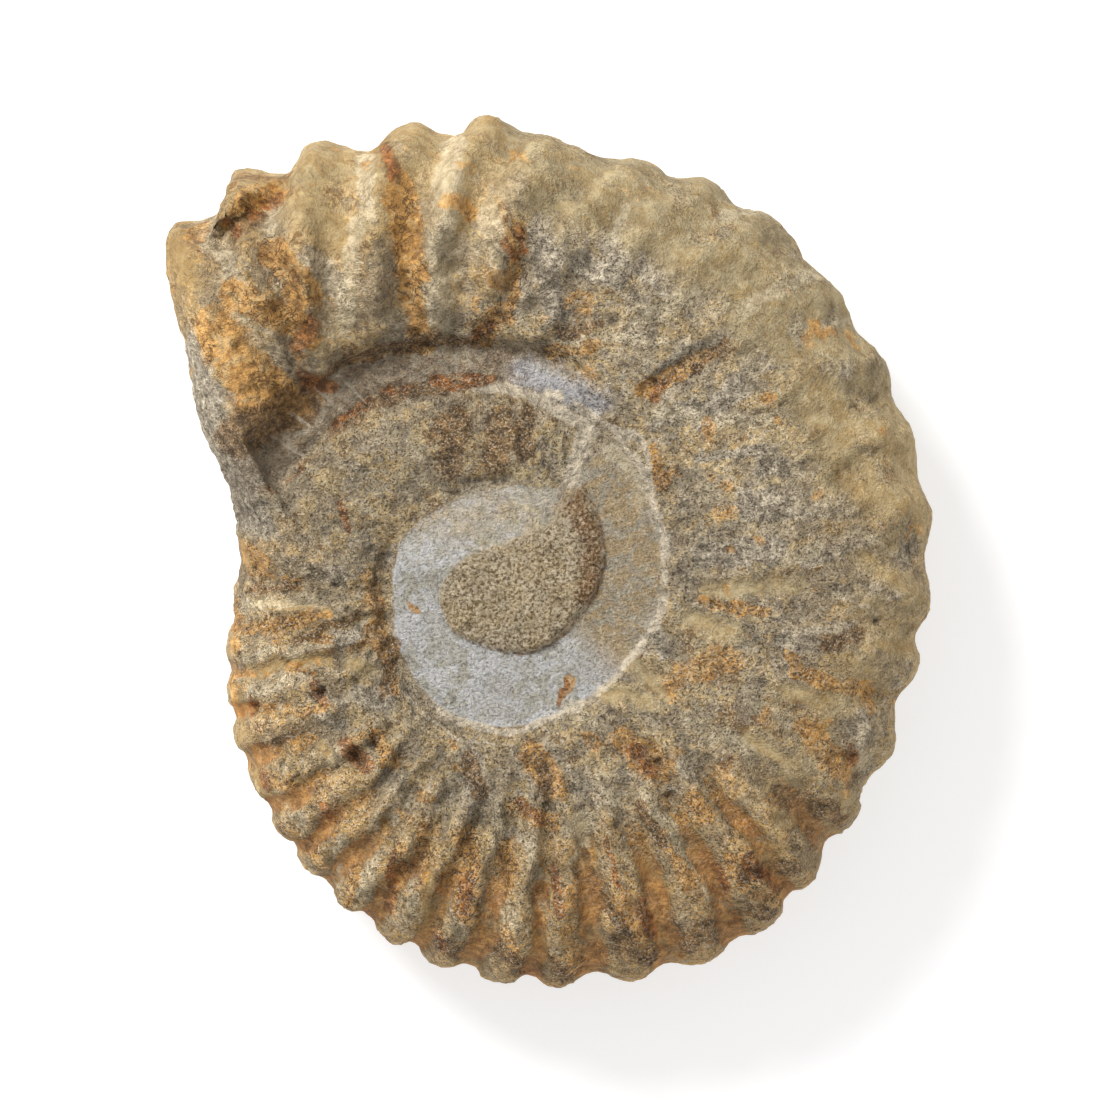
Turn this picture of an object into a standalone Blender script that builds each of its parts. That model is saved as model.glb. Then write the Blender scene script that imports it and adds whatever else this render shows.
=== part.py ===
"""Ammonite fossil: one ribbed, coiled stone, worn and ground open in the middle.

The fossil lies on its side. Its surface is a loft of unlike radial sections about the
axis of the coil: each section runs from the middle of the top, over the whorl and round
the outer edge, to the middle of the underside. Angles are in degrees, anticlockwise
from +X as seen from above, and lengths in millimetres until the mesh is made.
"""
import math

import bmesh
import bpy
import numpy as np

MM = 0.001
NAME = "ammonite"

# The loft's grid, and the share of its faces that is kept
COLUMNS = 400
TOP_ROWS = 84
EDGE_ROWS = 44
UNDER_ROWS = 40
KEPT_SHARE = 0.070

# The axis of the coil, from the middle of the part's box
COIL_X = -2.50
COIL_Y = -3.51

# Outer edge of the fossil, from the axis. The last six points follow the break.
RIM = (
    (-187, 33.3), (-179, 33.3), (-168, 35.2), (-150, 38.1), (-140, 39.5), (-130, 40.8), (-110, 43.7),
    (-90, 45.7), (-80, 46.1), (-70, 47.1), (-58, 47.8), (-50, 47.2), (-41, 46.0), (-25, 45.4),
    (-17, 45.0), (0, 45.8), (20, 46.9), (40, 48.0), (58, 49.8), (70, 49.8), (84, 50.0), (90, 52.0),
    (97, 52.6), (108, 53.2), (116, 54.6), (126, 56.0), (131, 56.0), (135.5, 56.6), (140.3, 52.5),
    (144.5, 48.1), (153.4, 42.1), (160.8, 36.6), (167, 34.1),
)
# Highest line of the whorl: its distance from the axis, and its height
CREST = (
    (-188, 24.6), (-150, 26.8), (-100, 28.6), (-50, 30.2), (0, 32.0), (60, 36.5), (90, 39.4),
    (110, 41.7), (130, 44.0), (140, 43.4), (145, 40.4), (153, 35.4), (161, 30.0),
)
CREST_HEIGHT = (
    (-188, 25.2), (-150, 25.8), (-90, 27.0), (-30, 28.2), (30, 29.4), (80, 30.8), (110, 31.8),
    (130, 31.8), (140, 30.4), (147, 28.8), (154, 27.4), (162, 26.2),
)
EDGE_FULLNESS = 2.3
MIDDLE_SHARE = 0.47

# Inner edge of the whorl: where the ground plateau or the whorl before meets it
SEAM = (
    (-188, 15.5), (-174, 15.6), (-157, 16.3), (-140, 17.0), (-125, 17.4), (-100, 16.7), (-70, 15.2),
    (-45, 14.6), (-10, 15.2), (20, 16.3), (40, 17.4), (62, 19.6), (100, 18.4), (140, 16.4),
)
# How far the foot of the whorl lies below (-) or above (+) the ground plateau beside it
SEAM_LIFT = (
    (-188, -2.0), (-155, -1.9), (-130, -1.2), (-100, -0.4), (-60, 0.1), (0, 0.3), (60, 0.4), (120, 0.0),
    (150, -1.2),
)
GULLY_OFFSET = 0.6
GULLY_INNER_WIDTH = 0.8
GULLY_OUTER_WIDTH = 2.6
# How steeply the whorl rises from its seam: 1 is a straight slope, 2 is a quarter circle
SEAM_ROUNDNESS = (
    (-188, 1.6), (-120, 1.5), (-80, 1.35), (-30, 1.25), (40, 1.2), (75, 1.3), (110, 1.45), (150, 1.5),
)

# The stretch where two whorls show, one inside the other, with a ledge of calcite between
INNER_START = (
    (62, 11.8), (84, 11.5), (107, 11.8), (130, 13.0), (150, 14.6), (165, 15.4), (172, 15.5),
)
INNER_END = (
    (62, 19.6), (80, 20.6), (90, 21.9), (110, 24.0), (130, 26.8), (150, 28.6), (170, 32.5),
)
OUTER_START = (
    (58, 19.8), (70, 24.0), (80, 25.6), (90, 26.4), (110, 28.8), (130, 32.2), (150, 34.2), (170, 37.5),
)
TWO_WHORLS_FROM = (56.0, 72.0)
TWO_WHORLS_TO = (152.0, 171.0)
INNER_SWELL = 1.4
LEDGE_DROP = 0.8
OUTER_STEP = 1.3
CREVICE_DEPTH = 1.0
CREVICE_WIDTH = 0.8

# The ground plateau is a plane that leans a little, as the fossil lies
PLATEAU_HEIGHT = 24.2
PLATEAU_SLOPE_X = 0.040
PLATEAU_SLOPE_Y = 0.025
# The sandy teardrop that is left standing on it
TEARDROP = (
    (-180, 9.7), (-150, 10.0), (-120, 8.3), (-90, 7.7), (-60, 7.0), (-30, 6.9), (0, 8.0), (20, 9.2),
    (40, 10.6), (55, 11.9), (61, 12.2), (68, 8.0), (80, 6.5), (110, 5.3), (140, 6.1), (160, 7.8),
)
TEARDROP_HEIGHT = 1.3
TEARDROP_EDGE = 1.1

# Ribs: the angle at which each crest reaches the outer edge
RIB_ANGLES = (
    -188.5, -178, -168, -160, -152.5, -143.5, -135, -128, -120, -111, -103.7, -93.5, -86, -75.5,
    -64.3, -55, -46, -36.2, -23.9, -12.4, -3, 10.3, 20.8, 31.3, 43.5, 55.6, 65.3, 75.5, 85, 94.8,
    104.5, 114.8, 125.5, 135.5,
)
# How far a rib turns back, in degrees for each millimetre outwards
RIB_LEAN = (
    (-188, 0.44), (20, 0.44), (50, 0.70), (80, 0.65), (105, 0.75), (118, 0.85), (130, 0.55), (150, 0.44),
)
# Half the height from the troughs to the crests, on the flank and round the outer edge
RIB_RELIEF_FLANK = (
    (-188, 0.50), (-150, 0.60), (-100, 0.70), (-60, 0.65), (-35, 0.40), (0, 0.28), (45, 0.28),
    (75, 0.45), (90, 1.00), (110, 1.40), (130, 1.20), (142, 0.35), (165, 0.30),
)
RIB_RELIEF_EDGE = (
    (-188, 0.45), (-160, 0.30), (-120, 0.40), (-86, 0.55), (-60, 0.40), (-30, 0.65), (-10, 0.55),
    (20, 0.45), (60, 0.45), (78, 0.45), (85, 0.15), (93, 0.95), (110, 1.00), (128, 1.05), (136, 0.60),
    (142, 0.25), (165, 0.25),
)
# Share of the way from seam to crest over which the ribs come up
RIB_START = (
    (-188, 0.15), (-160, 0.20), (-135, 0.40), (-100, 0.45), (-60, 0.55), (-30, 0.70), (45, 0.70),
    (80, 0.50), (100, 0.20), (150, 0.20),
)

# The notch in the outer edge: a hollow along the line between two points, and its hooked lip
NOTCH_FROM = (-33.4, 38.8)
NOTCH_TO = (-27.4, 43.6)
NOTCH_RADIUS = 1.8
NOTCH_DEPTH = 4.0

# Underside: a true coil with its hollow umbilicus, worn flat where it rests
UNDER_SEAM_START = 16.3
WHORL_EXPANSION = 2.2
UMBILICUS_DEPTH = 6.5
UNDER_GROOVE_DEPTH = 1.5
UNDER_GROOVE_WIDTH = 0.085
UNDER_RIB_SHARE = 0.75
UNDER_RIB_RELIEF = 0.34
UNDER_RIB_REACH = 44.0
WEAR = 0.6

STONE_COLOUR = (0.42, 0.35, 0.25, 1.0)
STONE_ROUGHNESS = 0.9


def around(points, angle):
    """Read a smooth closed curve through (angle, value) points at the given angles."""
    knots = np.array([point[0] for point in points], dtype=float)
    values = np.array([point[1] for point in points], dtype=float)
    x = np.concatenate((knots[-2:] - 360, knots, knots[:3] + 360))
    y = np.concatenate((values[-2:], values, values[:3]))
    slope = np.gradient(y, x)
    turned = (angle - knots[0]) % 360 + knots[0]
    i = np.clip(np.searchsorted(x, turned, side="right") - 1, 0, len(x) - 2)
    span = x[i + 1] - x[i]
    t = (turned - x[i]) / span
    start = (1 + 2 * t) * (1 - t) ** 2 * y[i] + t * (1 - t) ** 2 * span * slope[i]
    end = t * t * (3 - 2 * t) * y[i + 1] + t * t * (t - 1) * span * slope[i + 1]
    return start + end


def along(points, angle):
    """Read straight stretches between (angle, value) points, level beyond the ends."""
    return np.interp(angle, [point[0] for point in points], [point[1] for point in points])


def ramp(low, high, value):
    """0 below low, 1 above high, and a smooth step between."""
    t = np.clip((value - low) / (high - low), 0, 1)
    return t * t * (3 - 2 * t)


def rise(share, roundness):
    """Height of a rounded flank, 0 at its foot and 1 at its crest."""
    back = 1 - np.clip(share, 0, 1)
    return (1 - back ** roundness) ** (1 / roundness)


def plateau(x, y):
    """Height of the ground plane through the middle of the coil."""
    return PLATEAU_HEIGHT + PLATEAU_SLOPE_X * x + PLATEAU_SLOPE_Y * y


def rib_wave(angle, distance, rim):
    """1 on the ribs and -1 between them. Each rib leans back as it runs outwards."""
    at_rim = angle - around(RIB_LEAN, angle) * (rim - distance)
    at_rim = angle - around(RIB_LEAN, at_rim) * (rim - distance)
    first = RIB_ANGLES[0]
    turned = (at_rim - first) % 360 + first
    crests = np.array(RIB_ANGLES + (first + 360,))
    number = np.interp(turned, crests, np.arange(len(crests)))
    return np.cos(2 * math.pi * number)


def lumps(x, y, z):
    """Broad unevenness of the worn stone, within about 1 either way."""
    first = np.sin(0.31 * x + 1.3) * np.sin(0.27 * y - 0.4) + 0.6 * np.sin(0.23 * (x + y) + 0.2 * z)
    second = np.sin(0.71 * x - 0.5 * y + 0.9) * np.sin(0.53 * y + 0.31 * z + 2.1)
    return 0.5 * first + 0.4 * second


def top_height(angle, distance):
    """Height of the upper side, from the middle out to the crest of the whorl."""
    x = distance * np.cos(np.radians(angle))
    y = distance * np.sin(np.radians(angle))
    ground = plateau(x, y)
    crest = around(CREST, angle)
    crest_height = around(CREST_HEIGHT, angle)
    roundness = around(SEAM_ROUNDNESS, angle)

    seam = around(SEAM, angle)
    from_gully = distance - seam - GULLY_OFFSET
    width = np.where(from_gully < 0, GULLY_INNER_WIDTH, GULLY_OUTER_WIDTH)
    foot = ground + around(SEAM_LIFT, angle) * np.exp(-(from_gully / width) ** 2)
    share = (distance - seam) / (crest - seam)
    single = foot + (crest_height - foot) * rise(share, roundness)

    inner_start = along(INNER_START, angle)
    inner_end = along(INNER_END, angle)
    outer_start = np.minimum(along(OUTER_START, angle), crest - 1.0)
    across = np.clip((distance - inner_start) / (inner_end - inner_start), 0, 1)
    swell = INNER_SWELL * np.sin(math.pi * across ** 0.8) * ramp(60, 100, angle)
    ledge = LEDGE_DROP * ramp(inner_end - 0.5, inner_end + 0.9, distance) * ramp(66, 90, angle)
    crevice = CREVICE_DEPTH * np.exp(-((distance - inner_end) / CREVICE_WIDTH) ** 2) * ramp(74, 96, angle)
    low = ground + swell - ledge - crevice
    step = OUTER_STEP * ramp(outer_start - 0.4, outer_start + 0.7, distance) * ramp(62, 95, angle)
    outer_share = (distance - outer_start) / (crest - outer_start)
    double = low + step + (crest_height - low - step) * rise(outer_share, roundness)

    two_whorls = ramp(*TWO_WHORLS_FROM, angle) * (1 - ramp(*TWO_WHORLS_TO, angle))
    height = single + (double - single) * two_whorls

    teardrop = around(TEARDROP, angle)
    inside = np.clip((teardrop - distance) / TEARDROP_EDGE, 0, 1)
    dome = rise(inside, 2.0) * (0.75 + 0.25 * np.clip(1 - distance / teardrop, 0, 1))
    return height + TEARDROP_HEIGHT * dome


def under_height(angle, distance):
    """Height of the underside, from the middle out to its lowest line."""
    crest = around(CREST, angle)
    share = np.clip(distance / crest, 0, 1)
    hollow = UMBILICUS_DEPTH * (1 - share ** 2.6)
    turns = np.log(np.maximum(distance, 1.0) / UNDER_SEAM_START) / math.log(WHORL_EXPANSION)
    phase = turns - (angle - RIB_ANGLES[0]) / 360
    from_seam = np.abs(phase - np.round(phase))
    groove = UNDER_GROOVE_DEPTH * np.exp(-(from_seam / UNDER_GROOVE_WIDTH) ** 2)
    shown = ramp(2.0, 7.0, distance) * (1 - ramp(0.78, 0.93, share))
    return -WEAR + hollow + groove * shown


def notch_depth(x, y):
    """Depth of the notch at a point of the plan, measured from the axis of the coil."""
    run_x = NOTCH_TO[0] - NOTCH_FROM[0]
    run_y = NOTCH_TO[1] - NOTCH_FROM[1]
    share = ((x - NOTCH_FROM[0]) * run_x + (y - NOTCH_FROM[1]) * run_y) / (run_x ** 2 + run_y ** 2)
    share = np.clip(share, 0, 1)
    off_x = x - NOTCH_FROM[0] - share * run_x
    off_y = y - NOTCH_FROM[1] - share * run_y
    off = np.hypot(off_x, off_y) / NOTCH_RADIUS
    return NOTCH_DEPTH * (1 - 0.45 * share) * (1 - ramp(0.45, 1.15, off))


def sections(columns, top_rows, edge_rows, under_rows):
    """Angle, distance from the axis and height of every point of the loft."""
    first = RIB_ANGLES[0]
    angle = first + 360 * np.arange(columns)[:, None] / columns
    rim = around(RIM, angle)
    crest = around(CREST, angle)
    crest_height = around(CREST_HEIGHT, angle)
    middle = MIDDLE_SHARE * crest_height

    top_share = np.linspace(0, 1, top_rows + 1)[1:] ** 0.85
    top_r = crest * top_share
    top_z = top_height(angle + 0 * top_r, top_r)

    turn = np.radians(np.linspace(90, -90, edge_rows + 2)[1:-1])
    power = 2 / EDGE_FULLNESS
    edge_r = crest + (rim - crest) * np.abs(np.cos(turn)) ** power
    reach = np.where(turn > 0, crest_height - middle, middle + WEAR)
    edge_z = middle + np.sign(turn) * reach * np.abs(np.sin(turn)) ** power

    under_r = crest * np.linspace(1, 0, under_rows + 1)[:-1]
    under_z = under_height(angle + 0 * under_r, under_r)

    distance = np.concatenate((top_r, edge_r, under_r), axis=1)
    height = np.concatenate((top_z, edge_z, under_z), axis=1)
    return angle + 0 * distance, distance, height


def relief(angle, distance, height):
    """How far the ribs stand out of the plain whorl, along its own normal."""
    rim = around(RIM, angle)
    crest = around(CREST, angle)
    seam = around(SEAM, angle)
    outer_start = along(OUTER_START, angle)
    two_whorls = ramp(*TWO_WHORLS_FROM, angle) * (1 - ramp(*TWO_WHORLS_TO, angle))
    foot = seam + (np.minimum(outer_start, crest - 1.0) - seam) * two_whorls
    start = around(RIB_START, angle)
    share = (distance - foot) / (crest - foot)
    come_up = ramp(start - 0.12, start + 0.35, share)
    to_edge = ramp(crest + 0.25 * (rim - crest), crest + 0.85 * (rim - crest), distance)
    flank = around(RIB_RELIEF_FLANK, angle)
    strength = flank + (around(RIB_RELIEF_EDGE, angle) - flank) * to_edge
    middle = MIDDLE_SHARE * around(CREST_HEIGHT, angle)
    below = ramp(0, 0.8 * middle, middle - height)
    strength = strength * come_up * (1 - (1 - UNDER_RIB_SHARE) * below)
    under = (height < middle) & (distance < crest)
    strength = np.where(under, UNDER_RIB_RELIEF * ramp(4.0, 18.0, distance), strength)
    rib_end = np.where(under, UNDER_RIB_REACH, rim)
    worn = ramp(0.5, 4.5, height)
    return strength * worn * rib_wave(angle, distance, rib_end)


def surface(columns, top_rows, edge_rows, under_rows):
    """Every point of the fossil, as x, y and z arrays of columns by rows."""
    angle, distance, height = sections(columns, top_rows, edge_rows, under_rows)
    along_r = np.gradient(distance, axis=1)
    along_z = np.gradient(height, axis=1)
    length = np.hypot(along_r, along_z) + 1e-9
    out = relief(angle, distance, height)
    distance = distance - out * along_z / length
    height = height + out * along_r / length
    x = distance * np.cos(np.radians(angle))
    y = distance * np.sin(np.radians(angle))
    height = height + 0.30 * lumps(x, y, height) * ramp(0.5, 6.0, height) * ramp(8.0, 20.0, distance)
    upper = ramp(0.55, 0.75, height / around(CREST_HEIGHT, angle))
    height = height - notch_depth(x, y) * upper
    return x + COIL_X, y + COIL_Y, height


def loft(name, columns, top_rows, edge_rows, under_rows):
    """Mesh of the closed surface: a ring of sections, with one point at each pole."""
    x, y, z = surface(columns, top_rows, edge_rows, under_rows)
    rows = x.shape[1]
    points = np.stack((x, y, z), axis=2).reshape(-1, 3)
    top_pole = (COIL_X, COIL_Y, float(z[:, 0].mean()))
    under_pole = (COIL_X, COIL_Y, float(z[:, -1].mean()))
    vertices = [tuple(point) for point in points.tolist()] + [top_pole, under_pole]
    top, bottom = columns * rows, columns * rows + 1
    faces = []
    for column in range(columns):
        here = column * rows
        there = (column + 1) % columns * rows
        faces.append((top, here, there))
        for row in range(rows - 1):
            faces.append((here + row, here + row + 1, there + row + 1, there + row))
        faces.append((here + rows - 1, bottom, there + rows - 1))
    mesh = bpy.data.meshes.new(name)
    mesh.from_pydata([(px * MM, py * MM, pz * MM) for px, py, pz in vertices], [], faces)
    mesh.validate()
    return mesh


def stone_material():
    material = bpy.data.materials.new("weathered limestone")
    material.use_nodes = True
    shader = material.node_tree.nodes["Principled BSDF"]
    shader.inputs["Base Color"].default_value = STONE_COLOUR
    shader.inputs["Roughness"].default_value = STONE_ROUGHNESS
    shader.inputs["Metallic"].default_value = 0.0
    material.diffuse_color = STONE_COLOUR
    return material


def resting_plane(collection):
    """Block under z = 0 that the worn underside is cut by."""
    size = 160 * MM
    depth = 10 * MM
    mesh = bpy.data.meshes.new("resting_plane")
    shape = bmesh.new()
    bmesh.ops.create_cube(shape, size=1.0)
    bmesh.ops.scale(shape, vec=(size, size, depth), verts=shape.verts)
    bmesh.ops.translate(shape, vec=(0, 0, -depth / 2), verts=shape.verts)
    shape.to_mesh(mesh)
    shape.free()
    block = bpy.data.objects.new("resting_plane", mesh)
    block.display_type = "WIRE"
    block.hide_render = True
    collection.objects.link(block)
    return block


def ammonite(collection, cutter):
    mesh = loft(NAME, COLUMNS, TOP_ROWS, EDGE_ROWS, UNDER_ROWS)
    mesh.materials.append(stone_material())
    fossil = bpy.data.objects.new(NAME, mesh)
    collection.objects.link(fossil)

    fewer = fossil.modifiers.new("fewer faces", "DECIMATE")
    fewer.ratio = KEPT_SHARE
    worn = fossil.modifiers.new("worn flat", "BOOLEAN")
    worn.operation = "DIFFERENCE"
    worn.solver = "EXACT"
    worn.object = cutter
    return fossil


def main():
    for old in list(bpy.data.objects):
        bpy.data.objects.remove(old)
    parts = bpy.data.collections.new(NAME)
    cutters = bpy.data.collections.new("cutters")
    bpy.context.scene.collection.children.link(parts)
    bpy.context.scene.collection.children.link(cutters)
    ammonite(parts, resting_plane(cutters))


main()
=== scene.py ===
import math
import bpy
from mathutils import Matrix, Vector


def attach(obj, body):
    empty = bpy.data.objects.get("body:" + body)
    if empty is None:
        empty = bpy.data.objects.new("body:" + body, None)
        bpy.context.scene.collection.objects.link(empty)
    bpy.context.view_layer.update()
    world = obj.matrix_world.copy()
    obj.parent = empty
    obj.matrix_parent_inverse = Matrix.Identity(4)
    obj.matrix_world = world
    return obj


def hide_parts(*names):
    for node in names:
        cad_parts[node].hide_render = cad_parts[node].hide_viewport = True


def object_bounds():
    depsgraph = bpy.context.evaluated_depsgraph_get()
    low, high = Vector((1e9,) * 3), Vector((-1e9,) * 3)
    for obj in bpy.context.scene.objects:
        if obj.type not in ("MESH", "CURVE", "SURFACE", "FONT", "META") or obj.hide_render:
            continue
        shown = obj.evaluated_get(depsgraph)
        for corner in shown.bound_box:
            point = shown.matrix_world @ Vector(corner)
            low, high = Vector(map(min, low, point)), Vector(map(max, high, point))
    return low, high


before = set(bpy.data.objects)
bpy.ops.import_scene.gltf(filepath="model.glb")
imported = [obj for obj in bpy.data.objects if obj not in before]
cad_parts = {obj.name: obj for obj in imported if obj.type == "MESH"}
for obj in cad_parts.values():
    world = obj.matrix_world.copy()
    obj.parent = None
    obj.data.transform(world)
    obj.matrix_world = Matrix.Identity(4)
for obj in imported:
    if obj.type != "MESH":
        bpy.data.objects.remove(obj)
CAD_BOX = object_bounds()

from types import SimpleNamespace

import bpy
import numpy as np
from mathutils import Vector, noise

MM = 0.001
PHOTO_PIXELS = 1100
MM_PER_PIXEL = 0.1142
# The photo's middle, from the middle of the fossil's box
PHOTO_MIDDLE = (0.06, 0.29)

# Share of a colour as it looks that the stone reflects, in a studio this bright
LIGHT_SHARE = 0.87

# The fine surface's grid
COLUMNS = 600
TOP_ROWS = 82
EDGE_ROWS = 50
UNDER_ROWS = 30

# The axis of the coil, from the middle of the part's box
COIL_X = -2.50
COIL_Y = -3.51

# Outer edge of the fossil, from the axis. The last six points follow the break.
RIM = (
    (-187, 33.3), (-179, 33.3), (-168, 35.2), (-150, 38.1), (-140, 39.5), (-130, 40.8), (-110, 43.7),
    (-90, 45.7), (-80, 46.1), (-70, 47.1), (-58, 47.8), (-50, 47.2), (-41, 46.0), (-25, 45.4),
    (-17, 45.0), (0, 45.8), (20, 46.9), (40, 48.0), (58, 49.8), (70, 49.8), (84, 50.0), (90, 52.0),
    (97, 52.6), (108, 53.2), (116, 54.6), (126, 56.0), (131, 56.0), (135.5, 56.6), (140.3, 52.5),
    (144.5, 48.1), (153.4, 42.1), (160.8, 36.6), (167, 34.1),
)
# Highest line of the whorl: its distance from the axis, and its height
CREST = (
    (-188, 24.6), (-150, 26.8), (-100, 28.6), (-50, 30.2), (0, 32.0), (60, 36.5), (90, 39.4),
    (110, 41.7), (130, 44.0), (140, 43.4), (145, 40.4), (153, 35.4), (161, 30.0),
)
CREST_HEIGHT = (
    (-188, 25.2), (-150, 25.8), (-90, 27.0), (-30, 28.2), (30, 29.4), (80, 30.8), (110, 31.8),
    (130, 31.8), (140, 30.4), (147, 28.8), (154, 27.4), (162, 26.2),
)
EDGE_FULLNESS = 2.3
MIDDLE_SHARE = 0.47

# Inner edge of the whorl: where the ground plateau or the whorl before meets it
SEAM = (
    (-188, 15.5), (-174, 15.6), (-157, 16.3), (-140, 17.0), (-125, 17.4), (-100, 16.7), (-70, 15.2),
    (-45, 14.6), (-10, 15.2), (20, 16.3), (40, 17.4), (62, 19.6), (100, 18.4), (140, 16.4),
)
# How far the foot of the whorl lies below (-) or above (+) the ground plateau beside it
SEAM_LIFT = (
    (-188, -2.0), (-155, -1.9), (-130, -1.2), (-100, -0.4), (-60, 0.1), (0, 0.3), (60, 0.4), (120, 0.0),
    (150, -1.2),
)
GULLY_OFFSET = 0.6
GULLY_INNER_WIDTH = 0.8
GULLY_OUTER_WIDTH = 2.6
# How steeply the whorl rises from its seam: 1 is a straight slope, 2 is a quarter circle
SEAM_ROUNDNESS = (
    (-188, 1.6), (-120, 1.5), (-80, 1.35), (-30, 1.25), (40, 1.2), (75, 1.3), (110, 1.45), (150, 1.5),
)

# The stretch where two whorls show, one inside the other, with a ledge of calcite between
INNER_START = (
    (62, 11.8), (84, 11.5), (107, 11.8), (130, 13.0), (150, 14.6), (165, 15.4), (172, 15.5),
)
INNER_END = (
    (62, 19.6), (80, 20.6), (90, 21.9), (110, 24.0), (130, 26.8), (150, 28.6), (170, 32.5),
)
OUTER_START = (
    (58, 19.8), (70, 24.0), (80, 25.6), (90, 26.4), (110, 28.8), (130, 32.2), (150, 34.2), (170, 37.5),
)
TWO_WHORLS_FROM = (56.0, 72.0)
TWO_WHORLS_TO = (152.0, 171.0)
INNER_SWELL = 1.4
LEDGE_DROP = 0.8
OUTER_STEP = 1.3
CREVICE_DEPTH = 1.0
CREVICE_WIDTH = 0.8

# The ground plateau is a plane that leans a little, as the fossil lies
PLATEAU_HEIGHT = 24.2
PLATEAU_SLOPE_X = 0.040
PLATEAU_SLOPE_Y = 0.025
# The sandy teardrop that is left standing on it
TEARDROP = (
    (-180, 9.7), (-150, 10.0), (-120, 8.3), (-90, 7.7), (-60, 7.0), (-30, 6.9), (0, 8.0), (20, 9.2),
    (40, 10.6), (55, 11.9), (61, 12.2), (68, 8.0), (80, 6.5), (110, 5.3), (140, 6.1), (160, 7.8),
)
TEARDROP_HEIGHT = 1.3
TEARDROP_EDGE = 1.1

# Ribs: the angle at which each crest reaches the outer edge
RIB_ANGLES = (
    -188.5, -178, -168, -160, -152.5, -143.5, -135, -128, -120, -111, -103.7, -93.5, -86, -75.5,
    -64.3, -55, -46, -36.2, -23.9, -12.4, -3, 10.3, 20.8, 31.3, 43.5, 55.6, 65.3, 75.5, 85, 94.8,
    104.5, 114.8, 125.5, 135.5,
)
# How far a rib turns back, in degrees for each millimetre outwards
RIB_LEAN = (
    (-188, 0.44), (20, 0.44), (50, 0.70), (80, 0.65), (105, 0.75), (118, 0.85), (130, 0.55), (150, 0.44),
)
# Half the height from the troughs to the crests, on the flank and round the outer edge
RIB_RELIEF_FLANK = (
    (-188, 0.50), (-150, 0.60), (-100, 0.70), (-60, 0.65), (-35, 0.40), (0, 0.28), (45, 0.28),
    (75, 0.45), (90, 1.00), (110, 1.40), (130, 1.20), (142, 0.35), (165, 0.30),
)
RIB_RELIEF_EDGE = (
    (-188, 0.45), (-160, 0.30), (-120, 0.40), (-86, 0.55), (-60, 0.40), (-30, 0.65), (-10, 0.55),
    (20, 0.45), (60, 0.45), (78, 0.45), (85, 0.15), (93, 0.95), (110, 1.00), (128, 1.05), (136, 0.60),
    (142, 0.25), (165, 0.25),
)
# Share of the way from seam to crest over which the ribs come up
RIB_START = (
    (-188, 0.15), (-160, 0.20), (-135, 0.40), (-100, 0.45), (-60, 0.55), (-30, 0.70), (45, 0.70),
    (80, 0.50), (100, 0.20), (150, 0.20),
)

# The notch in the outer edge: a hollow along the line between two points, and its hooked lip
NOTCH_FROM = (-33.4, 38.8)
NOTCH_TO = (-27.4, 43.6)
NOTCH_RADIUS = 1.8
NOTCH_DEPTH = 4.0

# Underside: a true coil with its hollow umbilicus, worn flat where it rests
UNDER_SEAM_START = 16.3
WHORL_EXPANSION = 2.2
UMBILICUS_DEPTH = 6.5
UNDER_GROOVE_DEPTH = 1.5
UNDER_GROOVE_WIDTH = 0.085
UNDER_RIB_SHARE = 0.75
UNDER_RIB_RELIEF = 0.34
UNDER_RIB_REACH = 44.0
WEAR = 0.6

# How far a rib strays from its line, in degrees, and the middles of the two worn stretches
RIB_WANDER = 1.2
WORN_MIDDLES = (192, 116)

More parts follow.
